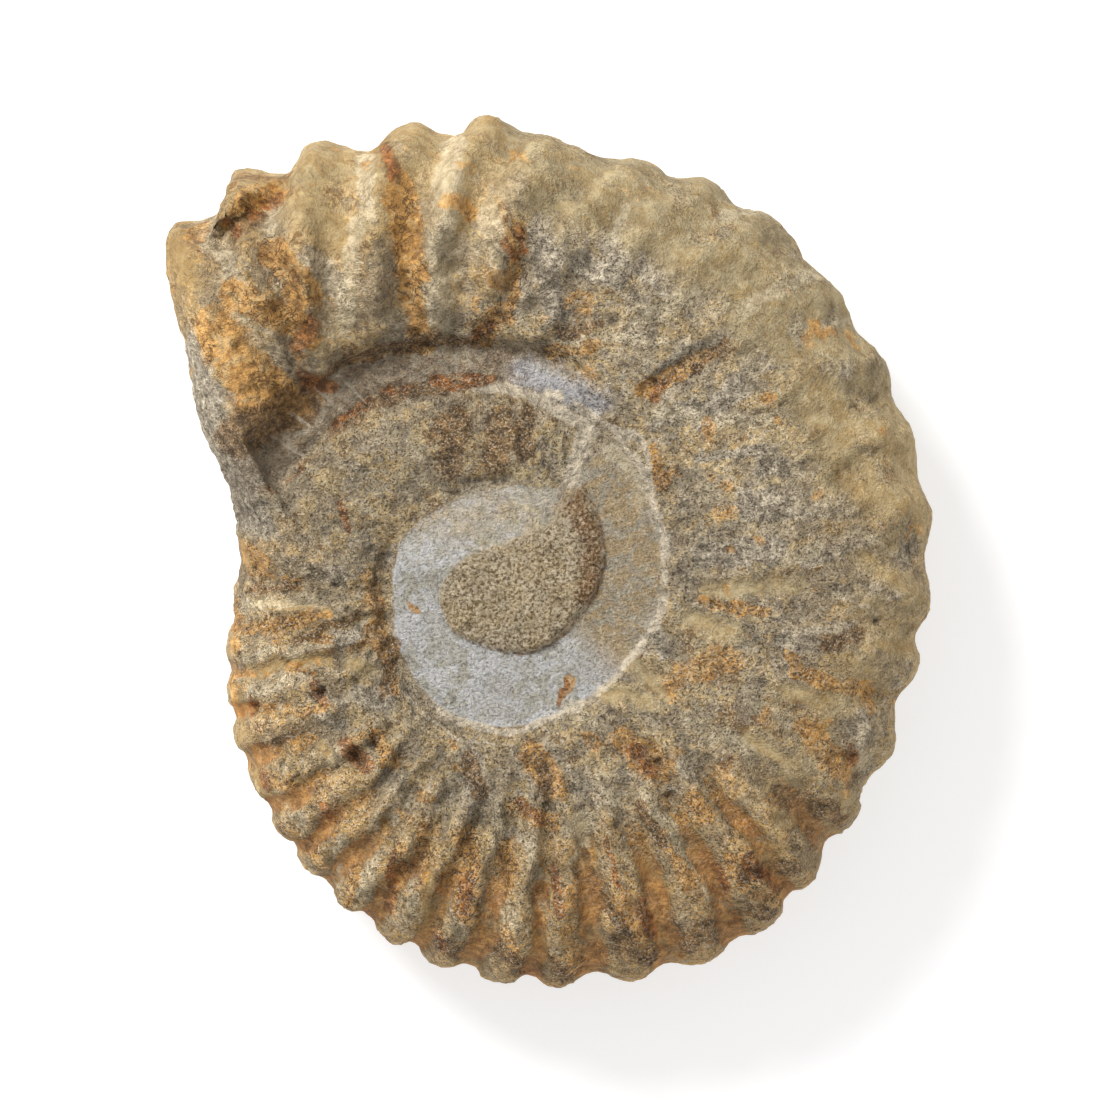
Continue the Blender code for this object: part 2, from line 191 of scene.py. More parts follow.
# Stains on the upper side, as strokes: from x, y to x, y, and the half width
OCHRE = (
    (-34.2, 38.5, -32.8, 39.7, 1.6), (-30.4, 33.2, -27.1, 28.8, 1.8), (-15.8, 39.7, -14.3, 30.5, 1.0),
    (-15.4, 28.8, -14.2, 23.7, 1.4), (-11.1, 38.9, -8.9, 37.7, 1.0), (-3.1, 36.3, -4.5, 26.0, 0.7),
    (-7.5, 23.9, -5.7, 26.6, 1.0), (-37.4, 25.4, -32.8, 17.4, 2.4), (-32.8, 20.6, -28.5, 16.3, 1.8),
    (-35.3, 28.8, -28.5, 25.4, 1.6), (-28.5, 26.8, -26.4, 23.7, 1.1), (10.3, 18.0, 17.8, 22.0, 0.9),
    (-0.2, 22.3, 4.9, 22.9, 0.7), (11.5, 11.1, 12.8, 7.7, 0.7), (17.2, -12.8, 19.7, -12.0, 1.7),
    (27.5, -13.4, 35.7, -15.7, 0.9), (35.2, -14.6, 36.1, -17.1, 0.7), (28.6, -19.7, 32.6, -24.3, 1.5),
    (8.1, -20.8, 12.6, -24.3, 1.7), (16.0, -27.4, 17.4, -29.6, 1.0), (21.2, -34.9, 25.8, -39.1, 1.8),
    (8.1, -39.7, 12.0, -45.4, 1.4), (1.8, -42.5, 3.5, -48.2, 1.0), (-34.7, 0.3, -32.8, -1.4, 1.3),
    (-34.2, -8.6, -25.1, -7.0, 0.6), (-35.8, -5.4, -35.5, -11.1, 0.7), (-36.3, -12.8, -35.8, -16.8, 0.6),
    (-27.1, -9.4, -24.8, -9.5, 0.6), (-30.8, -25.4, -27.9, -27.5, 0.8), (-26.9, -13.2, -26.0, -13.5, 0.5),
    (-15.4, -6.2, -15.0, -6.4, 0.55), (2.6, -14.2, 1.6, -16.0, 0.5), (-2.2, -22.6, 0.7, -26.2, 1.5),
    (-3.9, -28.3, 0.3, -30.3, 1.1), (-14.7, -27.1, -13.3, -27.6, 0.6), (-16.6, -32.8, -18.0, -40.3, 0.7),
    (-21.4, -34.0, -22.8, -39.7, 0.7), (-9.1, -31.7, -9.5, -40.3, 1.4), (-14.2, -30.5, -14.2, -36.3, 0.7),
    (-5.1, -32.8, -4.7, -37.4, 0.8), (-26.7, -33.1, -26.0, -35.1, 0.7), (4.6, -0.9, 3.9, -4.3, 0.7),
    (-23.4, 48.2, -23.9, 46.2, 0.9), (-25.1, -16.8, -28.5, -18.2, 0.6), (-19.4, -20.3, -17.6, -23.7, 0.8),
    (12.6, -31.7, 16.0, -37.4, 0.7), (-5.1, -42.5, -3.4, -46.5, 0.8), (-12.5, -42.5, -11.8, -44.8, 0.7),
    (17.2, -5.4, 24.0, -6.8, 0.7), (-16.8, 41.0, -15.6, 31.0, 1.4), (-20.3, -2.6, -18.8, -10.0, 0.8),
    (-18.8, -10.0, -17.3, -15.7, 0.6),
)
RUST = (
    (-22.6, -21.9, -20.3, -23.9, 1.0), (-35.8, 36.6, -34.7, 35.7, 0.6), (11.5, 17.4, 12.6, 19.0, 0.6),
    (33.5, -22.0, 34.3, -23.7, 0.5), (9.4, -22.0, 11.5, -24.3, 0.8), (6.2, -31.2, 7.6, -37.4, 0.3),
    (10.3, -39.1, 11.5, -42.5, 0.9), (22.3, -34.5, 25.2, -37.4, 0.9), (-4.7, 34.3, -3.9, 32.8, 0.5),
    (-3.3, 35.7, -2.9, 33.2, 0.5), (-17.5, -34.0, -18.2, -40.3, 0.5), (0.7, -35.1, 1.4, -40.3, 0.6),
    (-9.1, -36.3, -9.5, -40.3, 0.6), (-12.4, -43.1, -11.9, -44.8, 0.5), (-3.1, -27.7, -1.1, -30.0, 0.6),
    (-28.2, 22.9, -26.0, 25.4, 0.9), (-27.4, 19.5, -24.8, 18.6, 0.9), (-25.5, -28.3, -24.6, -30.0, 0.5),
    (-33.6, -16.6, -33.6, -18.7, 0.3), (-26.0, -14.6, -25.1, -16.6, 0.5), (2.1, -14.5, 0.8, -17.0, 0.3),
    (-32.8, 37.7, -30.2, 39.6, 0.6), (-23.4, 5.1, -22.6, 2.8, 0.5), (-18.4, 45.1, -17.5, 42.3, 0.6),
    (-32.5, -24.8, -31.7, -26.6, 0.5), (-8.2, 24.0, -6.6, 25.4, 0.5), (18.6, -35.3, 19.7, -37.4, 0.5),
)
BROWN = (
    (-35.2, 36.1, -32.1, 37.7, 0.8), (-18.4, 45.4, -17.3, 42.0, 0.9), (-35.3, 12.8, -29.6, 16.0, 2.2),
    (-22.8, 21.6, -15.9, 22.8, 0.5), (-11.3, 9.6, -10.4, 15.0, 1.7), (-6.2, 10.2, -5.4, 15.0, 1.5),
    (-3.1, 11.4, -2.5, 15.8, 1.1), (7.5, -43.7, 11.5, -46.0, 1.1), (1.2, -47.1, 2.9, -49.4, 0.9),
    (-5.7, -44.3, -3.4, -47.1, 1.0), (-12.5, -43.7, -10.2, -45.4, 0.9), (21.8, -36.0, 27.5, -35.3, 0.9),
    (17.4, -42.5, 22.0, -43.7, 1.5), (25.8, -27.1, 30.3, -28.8, 1.4), (-35.3, 42.5, -29.6, 42.5, 0.8),
    (-9.1, -23.5, -7.7, -26.6, 1.0), (-1.1, -23.7, -0.2, -27.1, 0.7), (-28.5, -10.0, -21.6, -7.3, 0.5),
    (-31.9, -22.0, -28.5, -20.0, 0.5), (-17.6, -10.0, -18.4, -15.7, 0.7), (4.1, -34.0, 5.8, -39.7, 0.6),
    (10.3, -28.3, 12.6, -32.8, 0.7), (30.9, -10.0, 34.3, -9.1, 0.9), (-26.4, 17.4, -28.5, 14.6, 1.0),
    (-13.6, 12.8, -11.6, 15.1, 0.7), (-15.9, 23.7, -12.5, 24.3, 0.6), (1.2, 24.3, 5.8, 25.4, 0.6),
    (16.0, 20.6, 19.5, 23.1, 0.6), (-34.0, -4.3, -28.5, -3.7, 0.5), (-32.8, -29.6, -30.2, -32.6, 0.8),
    (-26.2, -40.3, -23.9, -42.5, 0.8), (6.3, -39.1, 8.6, -42.5, 0.7), (13.2, -41.4, 16.0, -44.8, 0.9),
    (23.1, -40.3, 25.8, -41.4, 0.9), (31.3, -28.3, 33.2, -30.8, 0.9),
)
PALE = (
    (-37.9, 36.3, -32.8, 26.6, 1.0), (-20.7, 44.3, -20.0, 37.4, 1.0), (-21.4, 36.3, -22.8, 25.4, 1.0),
    (-10.8, 46.0, -11.6, 37.4, 1.5), (-11.9, 35.7, -12.5, 25.4, 1.6), (-6.8, 37.4, -5.1, 31.1, 1.3),
    (8.6, 38.9, 7.1, 34.5, 0.5), (19.5, 37.7, 25.2, 39.5, 0.7), (21.2, 26.8, 30.3, 31.9, 0.8),
    (11.5, 15.4, 24.0, 14.6, 0.7), (26.9, 25.0, 34.3, 26.0, 0.6), (16.0, -18.2, 22.9, -22.8, 1.0),
    (26.3, -0.9, 29.7, 0.5, 0.9), (33.7, 2.6, 40.4, -1.1, 0.4), (32.0, -4.5, 36.4, -6.8, 0.3),
    (35.5, -23.7, 37.7, -26.0, 1.0), (-33.6, -15.7, -26.2, -13.2, 1.0), (-24.8, -24.8, -23.4, -22.3, 0.9),
    (-18.8, -30.0, -20.7, -38.5, 0.9), (-23.4, -32.3, -24.5, -37.4, 0.7), (-15.9, -26.6, -17.3, -29.6, 0.8),
    (-6.0, -28.3, -5.7, -32.6, 0.8), (-14.8, -32.8, -15.4, -39.7, 0.7), (3.7, -30.0, 4.4, -40.3, 1.0),
    (-10.0, -22.0, -11.4, -25.8, 0.5), (1.2, -16.8, 4.6, -18.6, 0.8), (10.3, -27.1, 16.0, -34.0, 0.9),
    (-2.2, -31.7, -1.1, -39.7, 0.8), (-34.2, -11.7, -25.1, -10.0, 0.6), (-34.4, -6.0, -25.1, -5.2, 0.6),
    (-29.6, -28.3, -27.9, -30.0, 0.7), (5.8, -24.8, 7.5, -28.3, 0.7), (16.0, -35.1, 19.5, -39.7, 0.7),
    (10.3, 12.8, 10.3, 6.0, 0.7), (5.8, 12.3, 9.2, 9.4, 1.0), (10.3, 25.4, 16.0, 28.8, 0.9),
    (17.2, 6.0, 20.6, 8.3, 0.7), (21.8, -15.7, 26.3, -19.1, 0.7), (-10.8, -40.3, -10.0, -43.1, 0.6),
    (-5.7, -37.4, -4.3, -42.0, 0.6), (0.6, 23.7, 10.3, 23.7, 0.6),
)
SLATE = (
    (7.1, 34.5, 12.6, 30.0, 1.8), (3.5, 32.3, 7.1, 30.5, 1.5), (18.9, 24.0, 22.9, 26.0, 1.0),
    (12.6, 20.6, 17.2, 22.9, 0.8), (17.2, 15.1, 21.8, 18.9, 1.4), (11.7, 14.6, 16.0, 16.0, 1.0),
    (22.3, 20.3, 27.5, 23.4, 1.4), (16.6, 10.3, 23.8, 11.5, 0.6), (23.5, 9.4, 28.0, 9.4, 1.0),
    (22.3, 5.4, 32.6, 5.4, 1.9), (32.6, 20.3, 36.6, 19.7, 1.0), (17.2, -0.3, 25.2, 0.3, 1.5),
    (26.1, -10.0, 34.3, -8.9, 1.5), (32.0, -4.3, 39.5, -4.1, 1.0), (34.3, -18.2, 35.5, -22.0, 1.4),
    (18.3, -31.9, 25.4, -33.4, 0.9), (13.5, -25.4, 14.7, -27.7, 0.9), (17.8, -43.1, 21.8, -43.1, 1.7),
    (-28.5, -1.4, -23.4, -2.6, 1.1), (-23.4, -10.0, -20.3, -9.1, 1.1), (-21.6, -15.7, -18.4, -16.8, 1.0),
    (-25.6, -25.8, -24.4, -26.9, 0.8), (-9.1, -23.1, -7.9, -26.6, 1.4), (-5.1, -31.1, -1.7, -32.6, 0.8),
    (-2.2, -34.5, -1.8, -37.4, 0.7), (-12.7, -32.8, -12.5, -38.0, 0.6), (-35.1, 3.7, -31.9, 2.6, 1.0),
    (-26.0, 32.5, -23.5, 29.3, 1.3), (-1.1, 36.8, 0.6, 26.6, 1.4), (-30.5, 22.2, -27.9, 20.2, 1.1),
    (-14.8, 42.5, -12.5, 39.1, 0.7), (-28.5, -16.8, -23.4, -19.1, 0.8), (-34.2, -19.1, -28.5, -16.8, 0.7),
    (28.6, -0.9, 34.3, 0.9, 0.9), (1.2, -37.4, 2.9, -39.7, 0.7), (14.9, -23.7, 19.5, -28.3, 0.9),
    (10.3, -5.4, 12.6, -11.1, 0.9), (36.6, -10.0, 38.9, -14.6, 0.9), (37.7, -0.9, 41.7, 1.4, 0.9),
    (21.2, 34.5, 24.0, 36.3, 0.8), (-40.5, 23.1, -37.1, 14.0, 1.6), (-26.2, -15.7, -22.8, -16.8, 0.6),
)
TAN = (
    (-42.2, 34.5, -40.5, 30.2, 1.6), (-27.4, 40.3, -23.4, 35.1, 2.5), (-17.1, 47.7, -13.1, 45.4, 1.8),
    (-7.9, 48.8, -2.2, 44.6, 2.3), (-0.5, 44.8, 10.9, 40.3, 3.0), (5.8, 39.7, 12.6, 36.3, 2.1),
    (16.0, 41.4, 22.3, 38.5, 2.1), (18.9, 32.5, 25.8, 35.5, 1.8), (24.6, 28.3, 33.2, 29.7, 1.8),
    (28.6, 23.1, 36.8, 23.5, 1.8), (37.7, 20.8, 39.7, 12.8, 1.4), (28.6, 15.1, 37.7, 13.8, 1.7),
    (34.3, 7.1, 41.7, 5.4, 2.1), (17.2, -4.1, 27.5, -3.4, 0.9), (-22.1, -12.7, -20.0, -13.2, 0.9),
    (-25.1, 47.1, -23.4, 43.7, 1.4), (-35.9, 42.3, -29.6, 41.4, 0.9), (3.5, 42.5, 10.3, 38.5, 2.3),
    (35.5, -0.9, 42.3, -5.4, 1.1), (36.6, -10.0, 41.2, -11.1, 1.1), (-32.8, -5.4, -25.1, -6.1, 0.6),
    (-34.2, -13.6, -25.1, -11.7, 0.6), (-13.6, -35.1, -13.9, -42.0, 0.7), (3.3, -30.0, 4.6, -35.1, 0.8),
    (26.3, -15.7, 32.0, -16.8, 1.1), (16.0, -7.7, 20.6, -8.9, 1.1), (21.8, -20.8, 27.5, -23.7, 0.9),
    (9.2, -12.3, 12.6, -15.7, 0.9), (30.9, 12.8, 35.5, 9.4, 1.1), (40.6, 8.3, 43.2, -0.9, 1.1),
    (10.9, 34.5, 17.2, 33.2, 1.4), (1.2, 38.5, 5.8, 36.8, 1.6), (-25.1, -22.0, -23.9, -23.7, 0.6),
    (10.3, -34.0, 12.6, -38.5, 0.7), (5.8, -15.7, 11.5, -16.8, 0.9), (-36.2, -9.5, -36.4, -12.5, 0.8),
    (-35.8, -15.5, -35.0, -21.0, 0.9), (-35.6, 1.2, -34.6, -1.0, 0.9), (-33.5, -25.0, -32.0, -28.0, 0.8),
)
# White calcite where the seams meet
WHITE = (
    (2.9, 16.8, 6.3, 14.2, 0.4), (6.3, 14.2, 10.3, 12.8, 0.5), (4.0, 13.6, 2.6, 8.5, 1.3),
    (10.3, 12.8, 12.0, 7.1, 0.3), (-7.9, 18.2, 1.2, 17.6, 0.4),
)
# The bluish end of the ledge, and the shaded side of the teardrop
BLUE = ((-2.6, 20.2, 5.6, 16.6, 1.6),)
SAND_SHADE = ((2.9, 6.0, 5.0, 1.0, 1.5), (5.0, 1.0, 4.4, -4.6, 1.3), (-6.0, 5.6, 1.2, 6.6, 0.8))
# Small holes in the upper side: x, y, radius and depth
PITS = (
    (-23.2, 3.7, 0.8, 0.8), (-21.5, -23.1, 1.0, 1.3), (-33.6, -17.5, 0.5, 0.9), (-25.5, -15.7, 0.5, 0.7),
    (33.7, -22.8, 0.6, 0.9), (9.9, -22.3, 0.7, 0.8), (11.7, -23.5, 0.6, 0.7), (-27.4, 19.0, 1.0, 0.9),
    (-26.9, 24.7, 0.9, 0.8), (-17.9, 44.3, 0.5, 0.7), (-18.2, 42.8, 0.5, 0.7), (-17.3, 45.1, 0.3, 0.5),
    (-14.1, 25.9, 0.5, 0.6), (-15.0, 24.5, 0.5, 0.6), (-8.2, 24.3, 0.5, 0.6), (-6.8, 23.5, 0.5, 0.5),
    (-10.6, -16.7, 0.3, 0.4), (-7.1, -15.0, 0.3, 0.3), (36.9, 20.6, 0.6, 0.6), (36.4, 17.2, 0.5, 0.6),
    (11.9, 17.0, 0.7, 0.8), (-3.4, 34.8, 0.3, 0.6), (-2.9, 35.7, 0.3, 0.6), (22.7, -36.0, 0.9, 0.9),
    (-28.5, -25.4, 0.5, 0.6), (1.2, -35.3, 0.5, 0.7), (-17.5, -35.1, 0.5, 0.7), (-9.1, -38.5, 0.6, 0.7),
    (-0.2, -28.3, 0.5, 0.5), (22.0, 39.7, 0.3, 0.4), (30.0, 12.2, 0.5, 0.5), (-32.8, -22.0, 0.5, 0.6),
    (-29.6, -12.3, 0.3, 0.4), (-30.3, 17.9, 0.7, 0.6), (-34.7, 22.9, 0.5, 0.5), (-36.3, 26.8, 0.5, 0.5),
    (13.5, -27.1, 0.5, 0.5),
)
# The long hollow groove across the upper right flank, as a stroke, and its depth
GROOVE = ((10.4, 18.0, 17.6, 22.2, 0.75),)
GROOVE_DEPTH = 0.8
# Angles of the white veins across the ledge
LEDGE_VEINS = (132, 137, 144, 150)

# Noise along the fibres: its reach round the coil, its share outwards, and a value next to nothing
FIBRES = 30
FIBRE_SHARE = 0.16
TINY = 1e-6

# The stone's gloss and the depth of its bumps, in metres
STONE_SPECULAR = 0.3
BUMP_DEPTH = 0.0011

# The studio: a pale glowing floor, an even surround and one disk light, in metres and watts
FLOOR_HALF = 1.5
FLOOR_SHARE = 0.55
FLOOR_GLOW = 0.55
SURROUND = 0.70
KEY_PLACE = (-0.42, 0.50, 0.62)
KEY_TARGET = (0, 0, 0.015)
KEY_SIZE = 0.30
KEY_POWER = 9.0

# The camera, in millimetres, and the height of the fossil's middle
LENS = 150.0
SENSOR = 36.0
MIDDLE_HEIGHT = 15.0


def around(points, angle):
    """Read a smooth closed curve through (angle, value) points at the given angles."""
    knots = np.array([point[0] for point in points], dtype=float)
    values = np.array([point[1] for point in points], dtype=float)
    x = np.concatenate((knots[-2:] - 360, knots, knots[:3] + 360))
    y = np.concatenate((values[-2:], values, values[:3]))
    slope = np.gradient(y, x)
    turned = (angle - knots[0]) % 360 + knots[0]
    i = np.clip(np.searchsorted(x, turned, side="right") - 1, 0, len(x) - 2)
    span = x[i + 1] - x[i]
    t = (turned - x[i]) / span
    start = (1 + 2 * t) * (1 - t) ** 2 * y[i] + t * (1 - t) ** 2 * span * slope[i]
    end = t * t * (3 - 2 * t) * y[i + 1] + t * t * (t - 1) * span * slope[i + 1]
    return start + end


def along(points, angle):
    """Read straight stretches between (angle, value) points, level beyond the ends."""
    return np.interp(angle, [point[0] for point in points], [point[1] for point in points])


def ramp(low, high, value):
    """0 below low, 1 above high, and a smooth step between."""
    t = np.clip((value - low) / (high - low), 0, 1)
    return t * t * (3 - 2 * t)


def rise(share, roundness):
    """Height of a rounded flank, 0 at its foot and 1 at its crest."""
    back = 1 - np.clip(share, 0, 1)
    return (1 - back ** roundness) ** (1 / roundness)


def plateau(x, y):
    """Height of the ground plane through the middle of the coil."""
    return PLATEAU_HEIGHT + PLATEAU_SLOPE_X * x + PLATEAU_SLOPE_Y * y


def plan(angle, distance):
    """x and y of a point, from its angle and its distance from the axis."""
    return distance * np.cos(np.radians(angle)), distance * np.sin(np.radians(angle))


def upper_side(angle, height):
    """1 on the upper side, falling to 0 at about half the crest's height."""
    return ramp(0.55, 0.75, height / around(CREST_HEIGHT, angle))


def two_whorls_at(angle):
    """1 where two whorls show, one inside the other."""
    return ramp(*TWO_WHORLS_FROM, angle) * (1 - ramp(*TWO_WHORLS_TO, angle))


def from_line(x, y, start, end):
    """Share of the way along a line at which a point lies, and its distance from the line."""
    run_x = end[0] - start[0]
    run_y = end[1] - start[1]
    share = ((x - start[0]) * run_x + (y - start[1]) * run_y) / (run_x ** 2 + run_y ** 2)
    share = np.clip(share, 0, 1)
    return share, np.hypot(x - start[0] - share * run_x, y - start[1] - share * run_y)


def rib_wave(angle, distance, rim):
    """1 on the ribs and -1 between them. Each rib leans back as it runs outwards."""
    at_rim = angle - around(RIB_LEAN, angle) * (rim - distance)
    at_rim = angle - around(RIB_LEAN, at_rim) * (rim - distance)
    first = RIB_ANGLES[0]
    turned = (at_rim - first) % 360 + first
    crests = np.array(RIB_ANGLES + (first + 360,))
    number = np.interp(turned, crests, np.arange(len(crests)))
    return np.cos(2 * math.pi * number)


def lumps(x, y, z):
    """Broad unevenness of the worn stone, within about 1 either way."""
    first = np.sin(0.31 * x + 1.3) * np.sin(0.27 * y - 0.4) + 0.6 * np.sin(0.23 * (x + y) + 0.2 * z)
    second = np.sin(0.71 * x - 0.5 * y + 0.9) * np.sin(0.53 * y + 0.31 * z + 2.1)
    return 0.5 * first + 0.4 * second


def top_height(angle, distance):
    """Height of the upper side, from the middle out to the crest of the whorl."""
    x, y = plan(angle, distance)
    ground = plateau(x, y)
    crest = around(CREST, angle)
    crest_height = around(CREST_HEIGHT, angle)
    roundness = around(SEAM_ROUNDNESS, angle)

    seam = around(SEAM, angle)
    from_gully = distance - seam - GULLY_OFFSET
    width = np.where(from_gully < 0, GULLY_INNER_WIDTH, GULLY_OUTER_WIDTH)
    foot = ground + around(SEAM_LIFT, angle) * np.exp(-(from_gully / width) ** 2)
    share = (distance - seam) / (crest - seam)
    single = foot + (crest_height - foot) * rise(share, roundness)

    inner_start = along(INNER_START, angle)
    inner_end = along(INNER_END, angle)
    outer_start = np.minimum(along(OUTER_START, angle), crest - 1.0)
    across = np.clip((distance - inner_start) / (inner_end - inner_start), 0, 1)
    swell = INNER_SWELL * np.sin(math.pi * across ** 0.8) * ramp(60, 100, angle)
    ledge = LEDGE_DROP * ramp(inner_end - 0.5, inner_end + 0.9, distance) * ramp(66, 90, angle)
    crevice = CREVICE_DEPTH * np.exp(-((distance - inner_end) / CREVICE_WIDTH) ** 2) * ramp(74, 96, angle)
    low = ground + swell - ledge - crevice
    step = OUTER_STEP * ramp(outer_start - 0.4, outer_start + 0.7, distance) * ramp(62, 95, angle)
    outer_share = (distance - outer_start) / (crest - outer_start)
    double = low + step + (crest_height - low - step) * rise(outer_share, roundness)

    two_whorls = two_whorls_at(angle)
    height = single + (double - single) * two_whorls

    teardrop = around(TEARDROP, angle)
    inside = np.clip((teardrop - distance) / TEARDROP_EDGE, 0, 1)
    dome = rise(inside, 2.0) * (0.75 + 0.25 * np.clip(1 - distance / teardrop, 0, 1))
    return height + TEARDROP_HEIGHT * dome


def under_height(angle, distance):
    """Height of the underside, from the middle out to its lowest line."""
    crest = around(CREST, angle)
    share = np.clip(distance / crest, 0, 1)
    hollow = UMBILICUS_DEPTH * (1 - share ** 2.6)
    turns = np.log(np.maximum(distance, 1.0) / UNDER_SEAM_START) / math.log(WHORL_EXPANSION)
    phase = turns - (angle - RIB_ANGLES[0]) / 360
    from_seam = np.abs(phase - np.round(phase))
    groove = UNDER_GROOVE_DEPTH * np.exp(-(from_seam / UNDER_GROOVE_WIDTH) ** 2)
    shown = ramp(2.0, 7.0, distance) * (1 - ramp(0.78, 0.93, share))
    return -WEAR + hollow + groove * shown


def notch_depth(x, y):
    """Depth of the notch at a point of the plan, measured from the axis of the coil."""
    share, off = from_line(x, y, NOTCH_FROM, NOTCH_TO)
    return NOTCH_DEPTH * (1 - 0.45 * share) * (1 - ramp(0.45, 1.15, off / NOTCH_RADIUS))


def sections(columns, top_rows, edge_rows, under_rows):
    """Angle, distance from the axis and height of every point of the loft."""
    first = RIB_ANGLES[0]
    angle = first + 360 * np.arange(columns)[:, None] / columns
    rim = around(RIM, angle)
    crest = around(CREST, angle)
    crest_height = around(CREST_HEIGHT, angle)
    middle = MIDDLE_SHARE * crest_height

    top_share = np.linspace(0, 1, top_rows + 1)[1:] ** 0.85
    top_r = crest * top_share
    top_z = top_height(angle + 0 * top_r, top_r)

    turn = np.radians(np.linspace(90, -90, edge_rows + 2)[1:-1])
    power = 2 / EDGE_FULLNESS
    edge_r = crest + (rim - crest) * np.abs(np.cos(turn)) ** power
    reach = np.where(turn > 0, crest_height - middle, middle + WEAR)
    edge_z = middle + np.sign(turn) * reach * np.abs(np.sin(turn)) ** power

    under_r = crest * np.linspace(1, 0, under_rows + 1)[:-1]
    under_z = under_height(angle + 0 * under_r, under_r)

    distance = np.concatenate((top_r, edge_r, under_r), axis=1)
    height = np.concatenate((top_z, edge_z, under_z), axis=1)
    return angle + 0 * distance, distance, height


def relief(angle, distance, height):
    """How far the ribs stand out of the plain whorl, along its own normal."""
    rim = around(RIM, angle)
    crest = around(CREST, angle)
    seam = around(SEAM, angle)
    outer_start = along(OUTER_START, angle)
    two_whorls = two_whorls_at(angle)
    foot = seam + (np.minimum(outer_start, crest - 1.0) - seam) * two_whorls
    start = around(RIB_START, angle)
    share = (distance - foot) / (crest - foot)
    come_up = ramp(start - 0.12, start + 0.35, share)
    to_edge = ramp(crest + 0.25 * (rim - crest), crest + 0.85 * (rim - crest), distance)
    flank = around(RIB_RELIEF_FLANK, angle)
    strength = flank + (around(RIB_RELIEF_EDGE, angle) - flank) * to_edge
    middle = MIDDLE_SHARE * around(CREST_HEIGHT, angle)
    below = ramp(0, 0.8 * middle, middle - height)
    strength = strength * come_up * (1 - (1 - UNDER_RIB_SHARE) * below)
    under = (height < middle) & (distance < crest)
    strength = np.where(under, UNDER_RIB_RELIEF * ramp(4.0, 18.0, distance), strength)
    rib_end = np.where(under, UNDER_RIB_REACH, rim)
    worn = ramp(0.5, 4.5, height)
    x, y = plan(angle, distance)
    turned = strayed(angle, x, y, height)
    left = broken_ribs(x, y, height) * flank_wear(angle, distance)
    return strength * worn * left * rib_wave(turned, distance, rib_end)


def surface(columns, top_rows, edge_rows, under_rows):
    """Every point of the fossil, as x, y and z arrays of columns by rows."""
    angle, distance, height = sections(columns, top_rows, edge_rows, under_rows)
    along_r = np.gradient(distance, axis=1)
    along_z = np.gradient(height, axis=1)
    length = np.hypot(along_r, along_z) + 1e-9
    out = relief(angle, distance, height)
    distance = distance - out * along_z / length
    height = height + out * along_r / length
    x, y = plan(angle, distance)
    height = height + 0.30 * lumps(x, y, height) * ramp(0.5, 6.0, height) * ramp(8.0, 20.0, distance)
    height = height - notch_depth(x, y) * upper_side(angle, height)
    return x + COIL_X, y + COIL_Y, height


def strokes(x, y, lines):
    """The strongest of several brush strokes: 1 along the middle of one, fading out beside it."""
    mask = np.zeros_like(x)
    for from_x, from_y, to_x, to_y, half_width in lines:
        off = from_line(x, y, (from_x, from_y), (to_x, to_y))[1] / half_width
        mask = np.maximum(mask, np.exp(-0.8 * off ** 2))
    return mask


def most(*values):
    """The strongest of several masks at each point."""
    return np.maximum.reduce(values)


def between(low, high, soft, value):
    """1 from low to high, falling to 0 over the soft width beyond them."""
    return ramp(low - soft, low, value) * (1 - ramp(high, high + soft, value))


def line_at(offset, half_width):
    """1 on a line and 0 away from it, by the distance to it."""
    return np.exp(-(offset / half_width) ** 2)


def shifted(x, y, z, size, shift):
    """The points of a noise with features of the given size."""
    return (np.stack((x, y, z), axis=-1).reshape(-1, 3) / size + shift).tolist()


def rough(x, y, z, size, octaves, shift):
    """Fractal noise of about -1 to 1, with features of the given size."""
    points = shifted(x, y, z, size, shift)
    return np.array([noise.fractal(Vector(point), 1.0, 2.0, octaves) for point in points]).reshape(x.shape)


def cells(x, y, z, size, shift):
    """Distance to the nearest of scattered points, about 0 to 1, with cells of the given size."""
    points = shifted(x, y, z, size, shift)
    return np.array([noise.voronoi(Vector(point))[0][0] for point in points]).reshape(x.shape)


def radial_rough(x, y, z, distance, size, shift):
    """Noise drawn out along the lines from the coil's axis, like the fibres of the stone."""
    unit_x = x / (distance + TINY)
    unit_y = y / (distance + TINY)
    return rough(FIBRES * unit_x, FIBRES * unit_y, FIBRE_SHARE * (distance + z), size, 3, shift)


